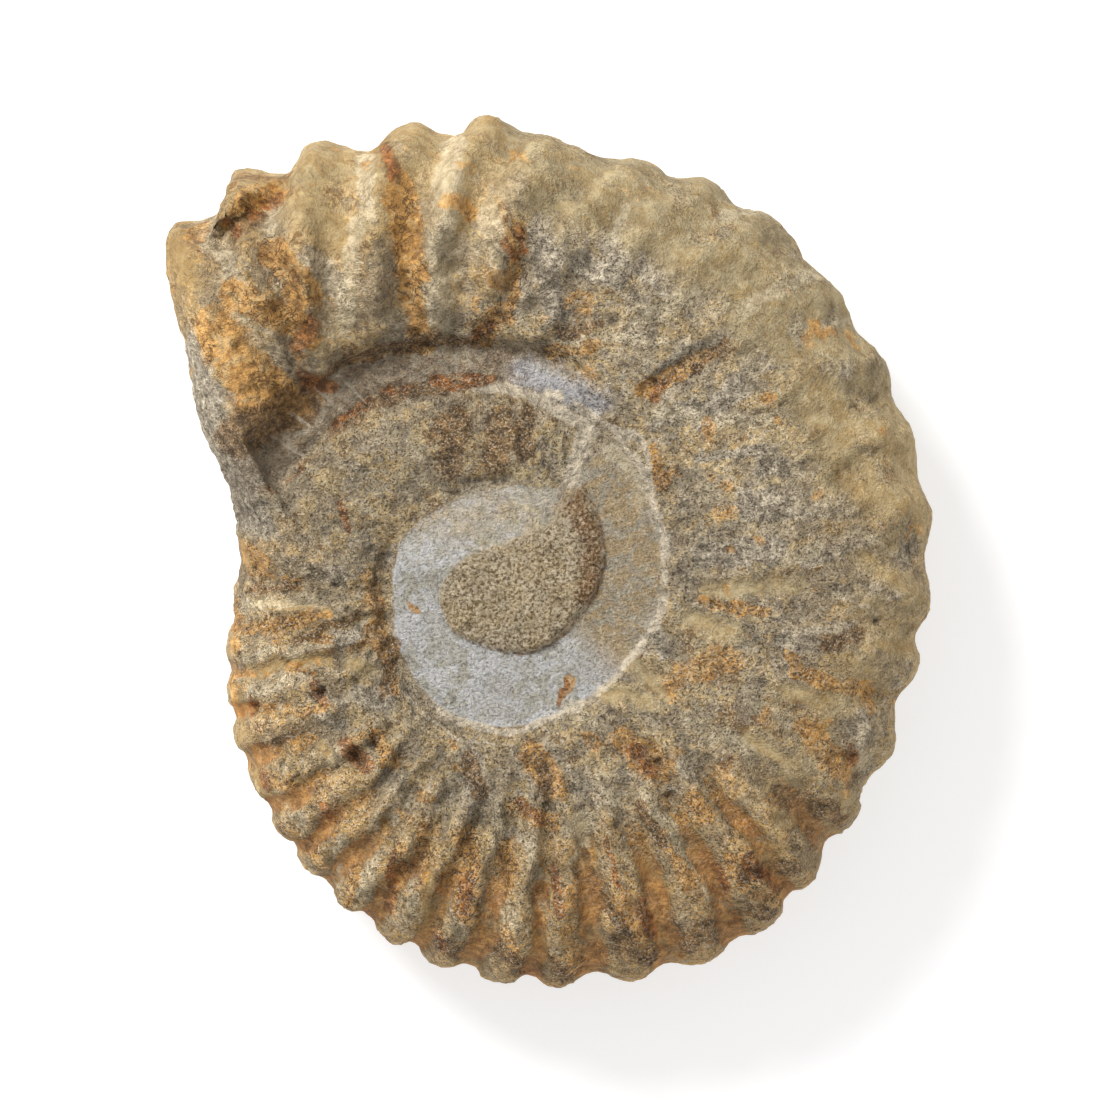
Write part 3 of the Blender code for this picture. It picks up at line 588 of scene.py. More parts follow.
def regions(x, y, height):
    """Masks of the fossil's named regions, from the same curves as its shape."""
    first = RIB_ANGLES[0]
    angle = (np.degrees(np.arctan2(y, x)) - first) % 360 + first
    distance = np.hypot(x, y)
    rim, crest, seam = (around(curve, angle) for curve in (RIM, CREST, SEAM))
    upper = upper_side(angle, height)
    two_whorls = two_whorls_at(angle)
    teardrop = around(TEARDROP, angle)
    sand = upper * (1 - ramp(teardrop - 0.35, teardrop + 0.1, distance))
    oval = seam + (along(INNER_START, angle) - seam) * two_whorls
    ground = upper * (1 - ramp(oval - 0.8, oval - 0.1, distance)) * (1 - sand)
    inner_end = along(INNER_END, angle)
    outer_start = along(OUTER_START, angle)
    ledge = ramp(inner_end - 0.2, inner_end + 0.6, distance)
    ledge = ledge * (1 - ramp(outer_start - 0.6, outer_start, distance))
    ledge = ledge * upper * two_whorls * ramp(70, 84, angle)
    inner = (1 - ramp(inner_end - 0.8, inner_end, distance)) * ramp(oval - 0.5, oval + 0.3, distance)
    inner = inner * upper * two_whorls
    plain = (1 - ground) * (1 - sand) * (1 - ledge) * (1 - inner)

    ribs_and_painted_shade = rib_wave(strayed(angle, x, y, height), distance, rim)
    ribbed = ramp(0.25, 0.6, around(RIB_RELIEF_FLANK, angle)) * ramp(18, 26, distance)
    trough = ramp(-0.1, 0.85, -ribs_and_painted_shade) * ribbed
    deep_trough = trough * between(-160, -40, 10, angle) * ramp(30, 36, distance)

    stray = 0.8 * rough(x, y, height, 3.0, 3, 19.0)
    past_crest = distance - crest + stray
    patchy = ramp(-0.45, 0.15, rough(x, y, height, 4.0, 4, 77.0))
    top_rim = between(20, 118, 14, angle) * ramp(-5.0, 5.0, past_crest) * (0.45 + 0.55 * patchy)
    right_rim = between(-40, 15, 14, angle) * ramp(1.0, 6.0, past_crest) * patchy
    part_x, part_y = x + COIL_X + stray, y + COIL_Y - stray
    tan = strokes(part_x, part_y, TAN) * upper
    tan = most(tan, most(0.95 * top_rim, 0.6 * right_rim) * (1 - 0.3 * trough))
    crust = strokes(part_x, part_y, OCHRE) * upper * (1 - tan)

    calm = between(96, 150, 10, angle) * ramp(28, 34, distance) * (0.45 + 0.30 * crust)
    grain = (0.45 + 0.5 * upper) * (1 - 0.70 * tan) * (1 - 0.6 * deep_trough) * (1 - calm)
    grain = grain * (1 - 0.4 * ledge) * (1 - 0.35 * ground) + 0.3 * sand
    flake = rough(x, y, height, 3.6, 5, 133.0) + 0.25 * tan
    broken = ramp(134.5, 139.0, angle) * (1 - ramp(168, 173, angle))
    broken = broken * ramp(0.15, 0.45, (distance - crest) / (rim - crest))
    return SimpleNamespace(
        angle=angle, distance=distance, upper=upper, seam=seam, oval=oval, teardrop=teardrop,
        inner_end=inner_end, outer_start=outer_start, two_whorls=two_whorls, sand=sand, ground=ground,
        ledge=ledge, plain=plain, ribs_and_painted_shade=ribs_and_painted_shade, ribbed=ribbed, trough=trough, deep_trough=deep_trough,
        tan=tan, crust=crust, grain=grain, flake=flake, broken=broken,
    )


def fine_detail(x, y, z, area):
    """Small relief that the solid leaves out, along the surface's normal. It mostly cuts in."""
    flat = np.clip(area.ground + 0.5 * area.sand + 0.75 * area.ledge, 0, 1)
    coarse = (1 - flat) * (0.35 + 0.65 * area.grain)
    broad = rough(x, y, z, 4.5, 3, 3.1)
    small = rough(x, y, z, 1.7, 4, 11.7)
    sharp = 1 - np.abs(rough(x, y, z, 2.6, 4, 27.3))
    streak = radial_rough(x, y, z, area.distance, 0.9, 5.5)
    step = ramp(-0.07, 0.07, area.flake + 0.15 * small) - 0.5
    holes = 1 - ramp(0.05, 0.28, cells(x, y, z, 2.2, 9.0))
    detail = 0.26 * broad * (1 - 0.85 * flat) + 0.34 * small * coarse
    detail = detail + 0.08 * streak * coarse + 0.03 * streak * area.ground
    detail = detail + 0.24 * step * coarse + 0.10 * small * area.sand
    detail = detail - 0.55 * holes * coarse * ramp(-0.1, 0.3, broad)
    detail = detail + 0.35 * (sharp - 0.8) * area.crust + 0.5 * (sharp - 0.7) * area.broken
    detail = detail - 0.35 * area.deep_trough
    part_x, part_y = x + COIL_X, y + COIL_Y
    for pit_x, pit_y, radius, depth in PITS:
        off = np.hypot(part_x - pit_x, part_y - pit_y) / radius
        detail = detail - depth * np.exp(-off ** 3) * area.upper
    detail = detail - GROOVE_DEPTH * strokes(part_x, part_y, GROOVE) * area.upper
    seam_off = area.distance - area.seam - 0.25 * rough(x, y, z, 3.0, 2, 1.0)
    return detail + 0.18 * line_at(seam_off, 0.35) * area.upper * (1 - area.two_whorls) - 0.08


def strayed(angle, x, y, z):
    """The angle at which a rib is read, so that it strays a little from its line."""
    return angle + RIB_WANDER * rough(x, y, z, 6.0, 2, 63.0)


def broken_ribs(x, y, z):
    """How much of the ribs is left, where wear and crust have broken them up."""
    return np.clip(1.05 + 0.35 * rough(x, y, z, 5.0, 3, 91.0), 0.5, 1.4)


def flank_wear(angle, distance):
    """How much of the rib relief is left on the worn flanks, at the left and between the upper ribs."""
    off_left, off_upper = (np.abs((angle - middle + 180) % 360 - 180) for middle in WORN_MIDDLES)
    left = 1 - ramp(26, 56, off_left)
    upper = (1 - ramp(18, 26, off_upper)) * (1 - ramp(37, 42, distance))
    return 1 - 0.45 * left - 0.35 * upper


def fossil_points():
    """Points of the fine surface, with their regions."""
    x, y, z = surface(COLUMNS, TOP_ROWS, EDGE_ROWS, UNDER_ROWS)
    x, y = x - COIL_X, y - COIL_Y
    area = regions(x, y, z)
    round_coil = np.stack([np.roll(part, -1, 0) - np.roll(part, 1, 0) for part in (x, y, z)], -1)
    outwards = np.stack([np.gradient(part, axis=1) for part in (x, y, z)], -1)
    normal = np.cross(outwards, round_coil)
    normal = normal / (np.linalg.norm(normal, axis=-1, keepdims=True) + TINY ** 2)
    settle = ramp(0.5, 3.0, np.hypot(x, y)) * ramp(0.05, 1.5, z)
    detail = fine_detail(x, y, z, area) * settle
    # Height of the fine relief, kept for painted shade in its pits, holes and grooves and painted light on
    # its bumps
    area.high = np.clip(0.5 + 0.9 * detail, 0, 1)
    x, y, z = (part + detail * normal[..., axis] for axis, part in enumerate((x, y, z)))
    return x, y, z, area


def masks(x, y, z, area):
    """What each point is made of or stained with, and where shade or light is painted, 0 to 1, for the
    material.
    """
    angle, distance, upper = area.angle, area.distance, area.upper
    trough, ribbed, plain, tan = area.trough, area.ribbed, area.plain, area.tan
    blur = rough(x, y, z, 1.3, 4, 41.0)
    wide = rough(x, y, z, 5.0, 3, 57.0)
    stray_x = x + COIL_X + 0.6 * rough(x, y, z, 2.2, 3, 71.0)
    stray_y = y + COIL_Y + 0.6 * rough(x, y, z, 2.2, 3, 83.0)
    stains = OCHRE, RUST, BROWN, PALE, SLATE, WHITE, BLUE
    ochre, rust, brown_stain_and_shade, pale, slate, white, blue = (
        strokes(stray_x, stray_y, lines) * upper for lines in stains
    )

    # Stretches of the fossil
    bottom = between(-150, -48, 22, angle) * ramp(25, 32, distance)
    left = most(1 - ramp(-152, -140, angle), ramp(168, 172, angle)) * ramp(20, 26, distance)
    rib_side = between(96, 138, 6, angle) * ramp(30, 36, distance)
    facet = between(128, 141, 4, angle) * ramp(46, 50, distance)
    crevice = line_at(distance - area.inner_end + 0.2 - 0.9 * wide, 1.05) * area.two_whorls * upper
    from_seam = distance - area.seam

    # The ground plateau: chalky at the lower left, olive at the right
    white_side = between(-178, -62, 26, angle)
    left_side = most(ramp(120, 178, angle), 1 - ramp(-186, -170, angle))
    chalk = area.ground * (0.42 + 0.5 * white_side + 0.2 * wide) + area.ground * 0.3 * left_side
    olive = area.ground * between(-32, 62, 28, angle)

    ochre = most(
        ochre,
        0.75 * bottom * trough * ramp(-0.55, 0.1, blur + 0.5 * wide),
        0.6 * left * trough * ramp(-0.3, 0.3, blur + wide),
        0.5 * plain * ramp(0.2, 0.6, wide + 0.3 * blur) * ribbed,
        0.55 * plain * ramp(0.35, 0.7, wide),
    )
    rust = most(
        rust,
        0.85 * crevice * ramp(94, 104, angle) * ramp(-0.2, 0.3, wide + 0.4 * blur),
        0.5 * bottom * trough * ramp(34, 41, distance) * ramp(-0.1, 0.4, wide),
    )
    left_groove = 0.8 * most(1 - ramp(-150, -128, angle), ramp(150, 170, angle))
    upper_line = line_at(distance - area.outer_start, 0.6) * between(102, 150, 6, angle)
    # Brown stains, with painted shade: under the rust in the crevice by the ledge, in a line round the
    # teardrop's foot that is darker on its lower and right sides, on the shaded inner flank of the left
    # whorl, and along the foot of the outer whorl's step
    brown_stain_and_shade = most(
        brown_stain_and_shade,
        0.75 * crevice * ramp(92, 102, angle) * (1 - ramp(140, 148, angle)),
        0.35 * area.ledge * ramp(-0.2, 0.5, wide),
        line_at(distance - area.teardrop - 0.1, 0.3) * upper * (0.2 + 0.5 * between(-110, 55, 40, angle)),
        0.6 * line_at(from_seam - 1.3, 1.0) * upper * left_groove,
        0.75 * upper_line * area.two_whorls * upper,
    )
    pale = most(
        pale,
        0.45 * bottom * (1 - trough) * ramp(-0.3, 0.3, blur - 0.5 * wide),
        0.75 * trough * rib_side * (1 - tan) * ramp(-0.5, 0.2, wide + 0.4 * blur),
    )
    slate = most(
        slate,
        0.45 * plain * ramp(0.05, 0.45, -wide + 0.3 * blur) * (1 - tan),
        0.8 * area.broken * ramp(142, 148, angle),
    )

    # White calcite along the seams, and in veins across the ledge
    seam_line = line_at(from_seam - 0.6 * wide, 0.62) * upper * (1 - area.two_whorls)
    second_line = line_at(from_seam - 1.6 - 0.6 * wide, 0.28) * upper
    inner_line = line_at(distance - area.inner_end + 0.8 - 0.5 * wide, 0.8) * area.two_whorls * upper
    cream = most(
        seam_line * ramp(-142, -118, angle) * (0.75 + 0.35 * blur),
        0.6 * second_line * between(-138, -100, 14, angle),
        0.9 * inner_line * (1 - ramp(96, 112, angle)),
        0.5 * line_at(distance - area.oval, 0.35) * area.two_whorls * upper,
        0.8 * white,
    )
    for vein in LEDGE_VEINS:
        off = np.radians(angle - vein) * distance
        cream = most(cream, 0.50 * line_at(off + 0.4 * wide, 0.42) * area.ledge)

    # Painted shade and painted light that the noises leave out, an orange fill in the bottom troughs, and a
    # warm tint
    hollow = trough * between(-172, -38, 12, angle) * ramp(29, 36, distance)
    # Painted shade in the rib troughs and painted light on the crests, less on the worn flanks and the
    # upper ribs; more painted shade on the tan facet, the left end of the ledge and the ochre on the upper
    # ribs
    ribs_and_painted_shade = 0.5 + 0.5 * area.ribs_and_painted_shade * ribbed * plain * (1 - 0.7 * rib_side) * flank_wear(angle, distance)
    ribs_and_painted_shade = ribs_and_painted_shade - 0.35 * facet - 0.4 * area.ledge * ramp(122, 132, angle) - 0.4 * ochre * rib_side
    # Painted light: up to a quarter lighter on the lower left, the right rim, the bottom, the troughs
    # between the upper ribs, the long groove, the upper flanks and the break face
    lit = most(
        between(-172, -128, 12, angle) * ramp(24, 30, distance),
        between(-28, 22, 10, angle) * ramp(35, 40, distance),
        0.6 * bottom,
        trough * rib_side * (1 - 0.8 * ochre),
        strokes(stray_x, stray_y, GROOVE),
        0.5 * between(146, 158, 4, angle) * ramp(28, 32, distance) * (1 - area.ledge),
        0.7 * between(15, 92, 10, angle) * ramp(20, 26, distance) * (1 - tan),
        0.7 * area.broken * (1 - ramp(146, 152, angle)),
    )
    warm = most(
        most(bottom, 0.6 * left) + 0.45 * rib_side,
        0.35 * between(-25, 15, 20, angle) * ramp(27, 36, distance),
        facet,
    )
    return {
        "chalk": chalk, "olive": olive, "sand": area.sand, "ochre": ochre, "rust": rust,
        "brown_stain_and_shade": brown_stain_and_shade, "pale": pale, "cream": cream, "slate": slate * (1 - 0.6 * bottom),
        "tan": tan, "glassy": area.ledge * (0.8 + 0.3 * blur), "blue": blue, "warm": warm * plain,
        "high": area.high, "grain": area.grain, "crust": area.crust, "flake": 0.5 + 0.5 * area.flake,
        "hollow": hollow * (0.45 + 0.55 * ramp(-0.35, 0.15, wide + 0.4 * blur)),
        "shaded": strokes(stray_x, stray_y, SAND_SHADE), "ribs_and_painted_shade": ribs_and_painted_shade, "lit": lit,
    }


def fossil_mesh(name):
    """The fine mesh, with one float attribute for each mask."""
    x, y, z, area = fossil_points()
    values = masks(x, y, z, area)
    low, high = (np.array(corner) / MM for corner in CAD_BOX)
    x, y = x + COIL_X, y + COIL_Y
    columns, rows = x.shape
    points = np.clip(np.stack((x, y, z), axis=2), low, high)
    poles = [(COIL_X, COIL_Y, float(points[:, row, 2].mean())) for row in (0, -1)]
    points = np.concatenate((points.reshape(-1, 3), poles)) * MM
    top, bottom = columns * rows, columns * rows + 1
    faces = []
    for column in range(columns):
        here = column * rows
        there = (column + 1) % columns * rows
        faces.append((top, here, there))
        for row in range(rows - 1):
            faces.append((here + row, here + row + 1, there + row + 1, there + row))
        faces.append((here + rows - 1, bottom, there + rows - 1))
    mesh = bpy.data.meshes.new(name)
    mesh.from_pydata(points.tolist(), [], faces)
    mesh.shade_smooth()
    for key, value in values.items():
        flat = np.clip(value, 0, 1).reshape(-1)
        flat = np.concatenate((flat, [value[:, 0].mean(), 0.0]))
        layer = mesh.attributes.new(key, "FLOAT", "POINT")
        layer.data.foreach_set("value", flat.astype(np.float32))
    return mesh


def linear(red, green, blue):
    """A colour as it looks in the studio's light, 0 to 255, as the shader's linear value."""
    values = []
    for channel in (red, green, blue):
        share = channel / 255
        value = share / 12.92 if share <= 0.04045 else ((share + 0.055) / 1.055) ** 2.4
        values.append(value * LIGHT_SHARE)
    return (*values, 1.0)


class Nodes:
    """Short calls for building a material's nodes. A text value is a mask, by its name."""

    def __init__(self, tree):
        self.tree = tree

    def put(self, kind, inputs=None, **settings):
        node = self.tree.nodes.new(kind)
        for key, value in settings.items():
            setattr(node, key, value)
        for key, value in (inputs or {}).items():
            if isinstance(value, str):
                value = self.put("ShaderNodeAttribute", attribute_name=value).outputs["Fac"]
            if isinstance(value, bpy.types.NodeSocket):
                self.tree.links.new(value, node.inputs[key])
            else:
                node.inputs[key].default_value = value
        return node

    def math(self, operation, first, second=0.0, third=0.0, clamp=False):
        inputs = {0: first, 1: second, 2: third}
        return self.put("ShaderNodeMath", inputs, operation=operation, use_clamp=clamp).outputs[0]

    def times(self, first, second):
        return self.math("MULTIPLY", first, second)

    def vector(self, operation, first, second=(0, 0, 0)):
        return self.put("ShaderNodeVectorMath", {0: first, 1: second}, operation=operation).outputs[0]

    def noise(self, vector, scale, detail, roughness, distortion=0.0):
        inputs = {"Vector": vector, "Scale": scale, "Detail": detail, "Roughness": roughness}
        inputs["Distortion"] = distortion
        return self.put("ShaderNodeTexNoise", inputs).outputs["Fac"]

    def step(self, value, low, high, to_low=0.0, to_high=1.0):
        """A smooth step of a value, from to_low below low to to_high above high."""
        inputs = {"Value": value, "From Min": low, "From Max": high, "To Min": to_low, "To Max": to_high}
        node = self.put("ShaderNodeMapRange", inputs, interpolation_type="SMOOTHSTEP", clamp=True)
        return node.outputs["Result"]

    def mix_value(self, share, first, second):
        inputs = {0: share, 2: first, 3: second}
        return self.put("ShaderNodeMix", inputs, data_type="FLOAT", clamp_factor=True).outputs[0]

    def mix(self, share, first, second, blend="MIX"):
        inputs = {0: share, 6: first, 7: second}
        node = self.put("ShaderNodeMix", inputs, data_type="RGBA", blend_type=blend, clamp_factor=True)
        return node.outputs[2]

    def ramp(self, value, stops):
        node = self.put("ShaderNodeValToRGB", {"Fac": value})
        elements = node.color_ramp.elements
        while len(elements) < len(stops):
            elements.new(0.5)
        for element, (place, colour) in zip(elements, stops):
            element.position = place
            element.color = colour
        return node.outputs["Color"]

    def broken(self, mask, noise_value, spread, low=0.30, high=0.62):
        """A mask whose edge is broken up by noise."""
        moved = self.math("MULTIPLY_ADD", noise_value, spread, -spread / 2)
        return self.step(self.math("ADD", mask, moved), low, high)

    def cracks(self, vector):
        """1 on thin lines that wander and branch."""
        value = self.noise(vector, 0.62, 3.0, 0.62, 0.9)
        off = self.math("ABSOLUTE", self.math("SUBTRACT", value, 0.5))
        return self.step(off, 0.036, 0.010)


BEIGE = linear(202, 179, 137)
KHAKI = linear(194, 163, 108)
BUFF = linear(206, 183, 136)
OLIVE_BROWN = linear(144, 115, 76)
COOL_GREY = linear(174, 161, 139)
GREEN_GREY = linear(190, 178, 146)
CREAM = linear(224, 209, 184)
CHALK = linear(218, 217, 216)
CHALK_GREEN = linear(190, 186, 172)
OLIVE_WARM = linear(176, 154, 118)
OLIVE = linear(166, 158, 140)
BROWN_LIGHT = linear(156, 120, 76)
BROWN_DEEP = linear(106, 78, 48)
DARK_PORE = linear(76, 60, 40)
GLASSY_BLUE = linear(186, 184, 185)
SAND_SHADED = linear(190, 146, 96)
WARM_TINT = (1.0, 0.86, 0.64, 1.0)

# Tones that follow a noise: the noise's value, and the colour there
STONE = ((0.38, OLIVE_BROWN), (0.45, BEIGE), (0.51, KHAKI), (0.56, COOL_GREY), (0.64, BUFF))
SLATE_TONES = ((0.36, linear(142, 129, 109)), (0.50, COOL_GREY), (0.66, linear(206, 193, 169)))
TAN_TONES = ((0.40, linear(166, 142, 98)), (0.58, linear(182, 164, 126)))
GLASSY_TONES = ((0.42, linear(138, 118, 96)), (0.60, COOL_GREY))
PALE_TONES = ((0.42, linear(198, 181, 145)), (0.58, linear(216, 201, 170)))
OCHRE_TONES = ((0.39, linear(190, 134, 64)), (0.60, linear(226, 170, 92)))
BROWN_TONES = ((0.42, BROWN_DEEP), (0.60, BROWN_LIGHT))
HOLLOW_TONES = ((0.42, linear(178, 124, 70)), (0.58, linear(210, 154, 88)))
RUST_TONES = ((0.42, linear(132, 82, 44)), (0.56, linear(184, 118, 60)))
SAND_TONES = ((0.38, linear(172, 146, 108)), (0.49, linear(214, 194, 160)), (0.62, linear(236, 218, 187)))


def stone_material():
    """Weathered limestone: tan crust, grey stone, ochre and rust stains, chalky ground plane."""
    material = bpy.data.materials.new("weathered limestone")
    material.use_nodes = True
    tree = material.node_tree
    n = Nodes(tree)
    shader = tree.nodes["Principled BSDF"]

    # Places in millimetres, as they are and drawn out along the lines from the coil's axis
    mm = n.vector("MULTIPLY", n.put("ShaderNodeTexCoord").outputs["Object"], (1 / MM, 1 / MM, 1 / MM))
    from_axis = n.vector("ADD", mm, (-COIL_X, -COIL_Y, 0))
    level = n.vector("MULTIPLY", from_axis, (1, 1, 0))
    distance = n.put("ShaderNodeVectorMath", {0: level}, operation="LENGTH").outputs["Value"]
    height = n.put("ShaderNodeSeparateXYZ", {0: mm}).outputs["Z"]
    out = n.times(n.math("ADD", distance, height), FIBRE_SHARE)
    out = n.put("ShaderNodeCombineXYZ", {"Z": out}).outputs[0]
    fibres = n.vector("MULTIPLY", n.vector("NORMALIZE", level), (FIBRES, FIBRES, 0))
    fibres = n.vector("ADD", fibres, out)

    patch = n.noise(mm, 0.14, 3.0, 0.60)
    clump = n.noise(n.vector("ADD", mm, (31, 17, 5)), 0.42, 5.0, 0.68, 0.8)
    mottle = n.noise(n.vector("ADD", mm, (3, 9, 4)), 1.0, 4.0, 0.76)
    ragged = n.noise(n.vector("ADD", mm, (5, 1, 8)), 0.8, 4.0, 0.74)
    fleck = n.noise(mm, 3.8, 2.0, 0.75)
    pore = n.noise(n.vector("ADD", mm, (7, 3, 11)), 3.0, 2.5, 0.80)
    streak = n.noise(fibres, 1.5, 3.0, 0.7)
    fibre = n.noise(fibres, 4.5, 2.0, 0.7)
    sandy = n.noise(mm, 2.6, 3.0, 0.80)
    isotropic = n.math("MAXIMUM", "sand", "chalk")

    # Bare stone, grey areas and tan crust
    tone = n.math("ADD", n.math("MULTIPLY_ADD", patch, 0.5, -0.25), clump)
    colour = n.ramp(tone, STONE)
    colour = n.mix(n.step(streak, 0.52, 0.64, 0.0, 0.3), colour, GREEN_GREY)
    colour = n.mix(n.step(streak, 0.47, 0.36, 0.0, 0.3), colour, BROWN_LIGHT)
    colour = n.mix(n.step("flake", 0.54, 0.44, 0.0, 0.55), colour, COOL_GREY)
    colour = n.mix(n.broken("slate", ragged, 0.9), colour, n.ramp(mottle, SLATE_TONES))
    tan = n.broken("tan", clump, 1.6, 0.12, 0.85)
    colour = n.mix(tan, colour, n.ramp(clump, TAN_TONES))
    colour = n.mix("warm", colour, n.mix(1.0, colour, WARM_TINT, "MULTIPLY"))

    # The ground plateau, and the ledge of calcite
    ground = n.mix(n.step(clump, 0.44, 0.56), CHALK, CHALK_GREEN)
    ground = n.mix(n.step(patch, 0.56, 0.44, 0.0, 0.5), ground, CHALK)
    olive_side = n.mix(n.step(clump, 0.56, 0.44), OLIVE, OLIVE_WARM)
    olive_side = n.mix(n.step(fibre, 0.50, 0.38, 0.0, 0.6), olive_side, OLIVE_BROWN)
    ground = n.mix("olive", ground, olive_side)
    chalk = n.math("ADD", "chalk", n.times("olive", 0.5), clamp=True)
    chalk = n.broken(chalk, ragged, 0.5, 0.10, 0.75)
    colour = n.mix(n.times(chalk, 0.95), colour, ground)
    glassy = n.step("glassy", 0.1, 0.7, 0.0, 0.85)
    colour = n.mix(glassy, colour, n.ramp(clump, GLASSY_TONES))
    colour = n.mix(n.broken("blue", streak, 1.0, 0.05, 0.95), colour, GLASSY_BLUE)

    # Stains, and painted shade in the brown
    colour = n.mix(n.times(n.broken("pale", ragged, 0.8), 0.6), colour, n.ramp(mottle, PALE_TONES))
    ochre = n.ramp(n.mix_value(0.4, mottle, clump), OCHRE_TONES)
    ochre = n.mix(n.step(clump, 0.50, 0.62, 0.0, 0.5), ochre, BUFF)
    ochre = n.mix(n.step(clump, 0.47, 0.38, 0.0, 0.6), ochre, BROWN_LIGHT)
    colour = n.mix(n.times(n.broken("ochre", ragged, 1.0), 0.85), colour, ochre)
    # Brown stains, and painted shade
    colour = n.mix(n.times(n.broken("brown_stain_and_shade", ragged, 0.8), 0.85), colour, n.ramp(mottle, BROWN_TONES))
    colour = n.mix(n.times(n.broken("hollow", ragged, 0.4), 0.75), colour, n.ramp(clump, HOLLOW_TONES))
    colour = n.mix(n.times(n.broken("rust", ragged, 0.8), 0.8), colour, n.ramp(mottle, RUST_TONES))

    # The sandy teardrop, and white calcite
    grains = n.ramp(sandy, SAND_TONES)
    grains = n.mix(n.step(clump, 0.54, 0.44, 0.0, 0.4), grains, KHAKI)
    shaded = n.step("shaded", 0.1, 0.9, 0.0, 0.8)
    grains = n.mix(shaded, grains, n.mix(0.85, grains, SAND_SHADED, "MULTIPLY"))
    colour = n.mix("sand", colour, grains)
    cream = n.broken("cream", ragged, 0.6)
    colour = n.mix(n.times(cream, 0.9), colour, CREAM)

    # Cracks, pores and light grains
    cracks = n.times(n.cracks(mm), n.step("crust", 0.15, 0.6, 0.38, 1.0))
    cracks = n.times(cracks, n.step(isotropic, 0.05, 0.4, 1.0, 0.0))
    cracks = n.times(cracks, n.step(patch, 0.44, 0.54, 0.25, 1.0))
    colour = n.mix(n.times(cracks, 0.8), colour, BROWN_DEEP)
    even = n.mix_value(isotropic, pore, sandy)
    pores = n.times(n.step(even, 0.47, 0.39), n.step("grain", 0.0, 1.0, 0.05, 1.0))
    pores = n.times(pores, n.step(cream, 0.2, 1.0, 1.0, 0.45))
    colour = n.mix(pores, colour, n.mix(n.mix_value(isotropic, 0.80, 0.42), colour, DARK_PORE))
    flecks = n.step(n.mix_value("sand", fleck, sandy), 0.53, 0.61)
    flecks = n.times(flecks, n.step("grain", 0.0, 1.0, 0.05, 0.85))
    colour = n.mix(flecks, colour, n.mix(0.7, colour, CREAM))

    # Lighter and darker areas: tone at random, painted shade in the hollows of the fine relief and the rib
    # troughs, and painted light
    surface_noise = n.mix_value(isotropic, mottle, sandy)
    shade = n.mix_value(n.times(tan, 0.5), n.step(surface_noise, 0.37, 0.63, 0.74, 1.26), 1.0)
    # Painted shade in the pits, holes and grooves of the fine relief, painted light on its bumps
    shade = n.times(shade, n.step("high", 0.10, 0.70, 0.78, 1.08))
    # Painted shade in the rib troughs, painted light on the crests
    shade = n.times(shade, n.step("ribs_and_painted_shade", 0.10, 0.75, 0.86, 1.08))
    # Painted light, up to a quarter lighter
    shade = n.times(shade, n.step("lit", 0.0, 1.0, 1.0, 1.25))
    shade = n.mix_value(n.times("chalk", 0.2), shade, 1.0)
    shade = n.put("ShaderNodeCombineXYZ", {0: shade, 1: shade, 2: shade}).outputs[0]
    tree.links.new(n.mix(1.0, colour, shade, "MULTIPLY"), shader.inputs["Base Color"])

    tree.links.new(n.step(mottle, 0.3, 0.7, 0.84, 0.97), shader.inputs["Roughness"])
    shader.inputs["Specular IOR Level"].default_value = STONE_SPECULAR
    bumps = n.math("ADD", n.times(surface_noise, 0.8), n.times(fleck, 0.45))
    bumps = n.math("ADD", bumps, n.times(even, 0.5))
    bumps = n.math("SUBTRACT", bumps, n.times(cracks, 0.35))
    bumps = n.times(bumps, n.step("grain", 0.0, 1.0, 0.20, 1.0))
    bump = n.put("ShaderNodeBump", {"Height": bumps, "Distance": BUMP_DEPTH, "Strength": 1.0})
    tree.links.new(bump.outputs["Normal"], shader.inputs["Normal"])
    return material


def fossil():
    """The whole stone, in place of its solid."""
    mesh = fossil_mesh("ammonite_stone")
    mesh.materials.append(stone_material())
    piece = bpy.data.objects.new("ammonite_stone", mesh)
    bpy.context.scene.collection.objects.link(piece)
    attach(piece, "root")
    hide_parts("ammonite")


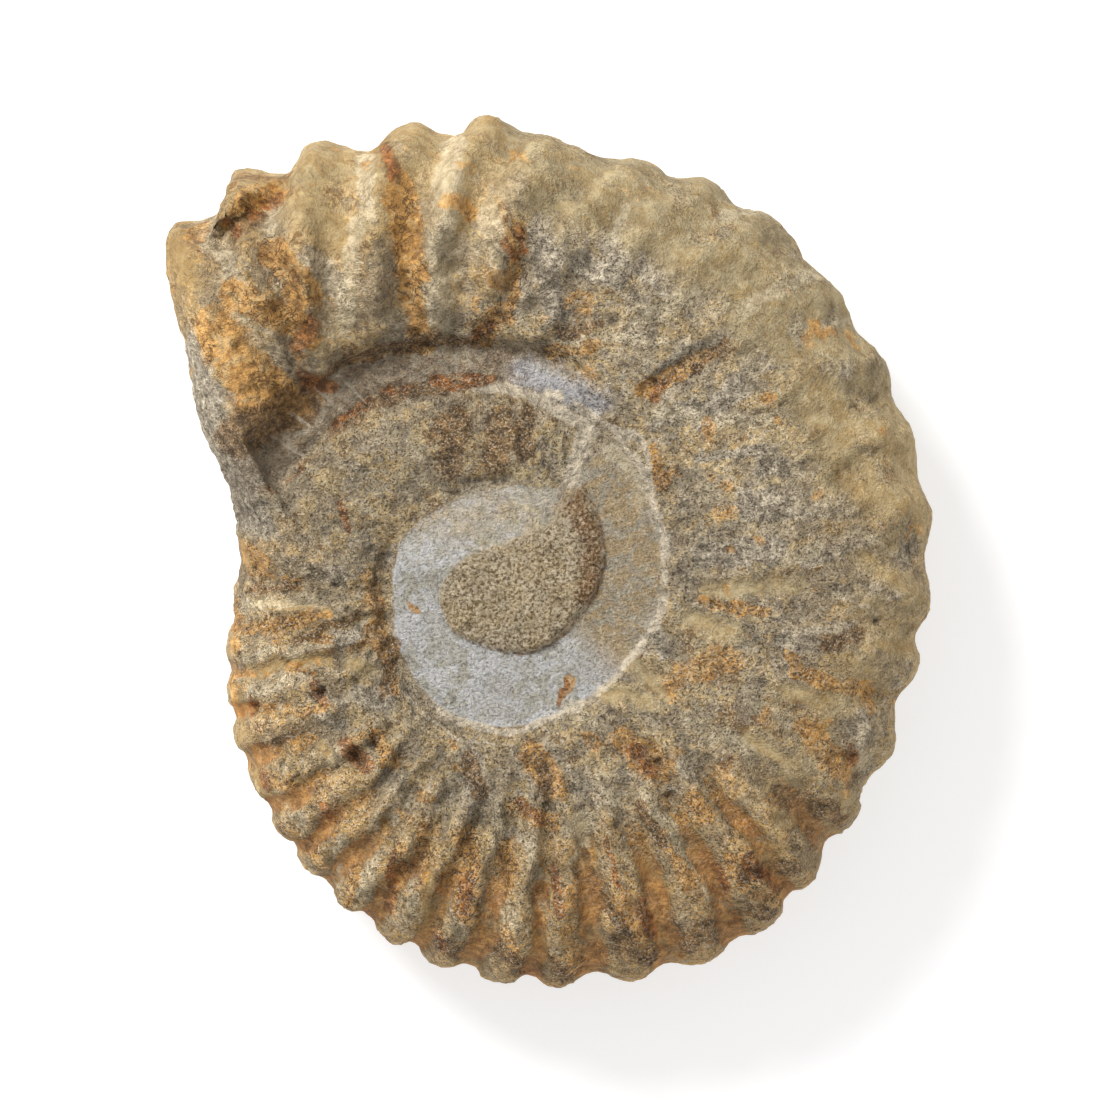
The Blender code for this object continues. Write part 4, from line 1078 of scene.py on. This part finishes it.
def floor():
    """A pale table that glows a little, so that the shadow on it stays light."""
    mesh = bpy.data.meshes.new("floor")
    corners = [(x * FLOOR_HALF, y * FLOOR_HALF, 0) for x, y in ((-1, -1), (1, -1), (1, 1), (-1, 1))]
    mesh.from_pydata(corners, [], [(0, 1, 2, 3)])
    table = bpy.data.objects.new("floor", mesh)
    material = bpy.data.materials.new("floor")
    material.use_nodes = True
    shader = material.node_tree.nodes["Principled BSDF"]
    shader.inputs["Base Color"].default_value = (FLOOR_SHARE, FLOOR_SHARE, FLOOR_SHARE, 1)
    shader.inputs["Emission Color"].default_value = (1.0, 1.0, 1.0, 1)
    shader.inputs["Emission Strength"].default_value = FLOOR_GLOW
    shader.inputs["Roughness"].default_value = 0.9
    shader.inputs["Specular IOR Level"].default_value = 0.1
    mesh.materials.append(material)
    bpy.context.scene.collection.objects.link(table)


def lights():
    """An even pale surround, and one soft key light from the upper left."""
    world = bpy.data.worlds.new("surround")
    world.use_nodes = True
    background = world.node_tree.nodes["Background"]
    background.inputs["Color"].default_value = (1.0, 1.0, 1.0, 1)
    background.inputs["Strength"].default_value = SURROUND
    bpy.context.scene.world = world

    lamp = bpy.data.lights.new("key", "AREA")
    lamp.shape = "DISK"
    lamp.size = KEY_SIZE
    lamp.energy = KEY_POWER
    item = bpy.data.objects.new("key", lamp)
    bpy.context.scene.collection.objects.link(item)
    item.location = KEY_PLACE
    item.rotation_euler = (Vector(KEY_TARGET) - Vector(KEY_PLACE)).to_track_quat("-Z", "Y").to_euler()
    bpy.context.scene.view_settings.view_transform = "Standard"


def camera():
    """Straight above, with the whole photo's width across the fossil's middle height."""
    distance = PHOTO_PIXELS * MM_PER_PIXEL * LENS / SENSOR
    view = bpy.data.cameras.new("camera")
    view.lens = LENS
    view.sensor_width = SENSOR
    item = bpy.data.objects.new("camera", view)
    item.location = [part * MM for part in (*PHOTO_MIDDLE, distance + MIDDLE_HEIGHT)]
    bpy.context.scene.collection.objects.link(item)
    bpy.context.scene.camera = item


fossil()
floor()
lights()
camera()
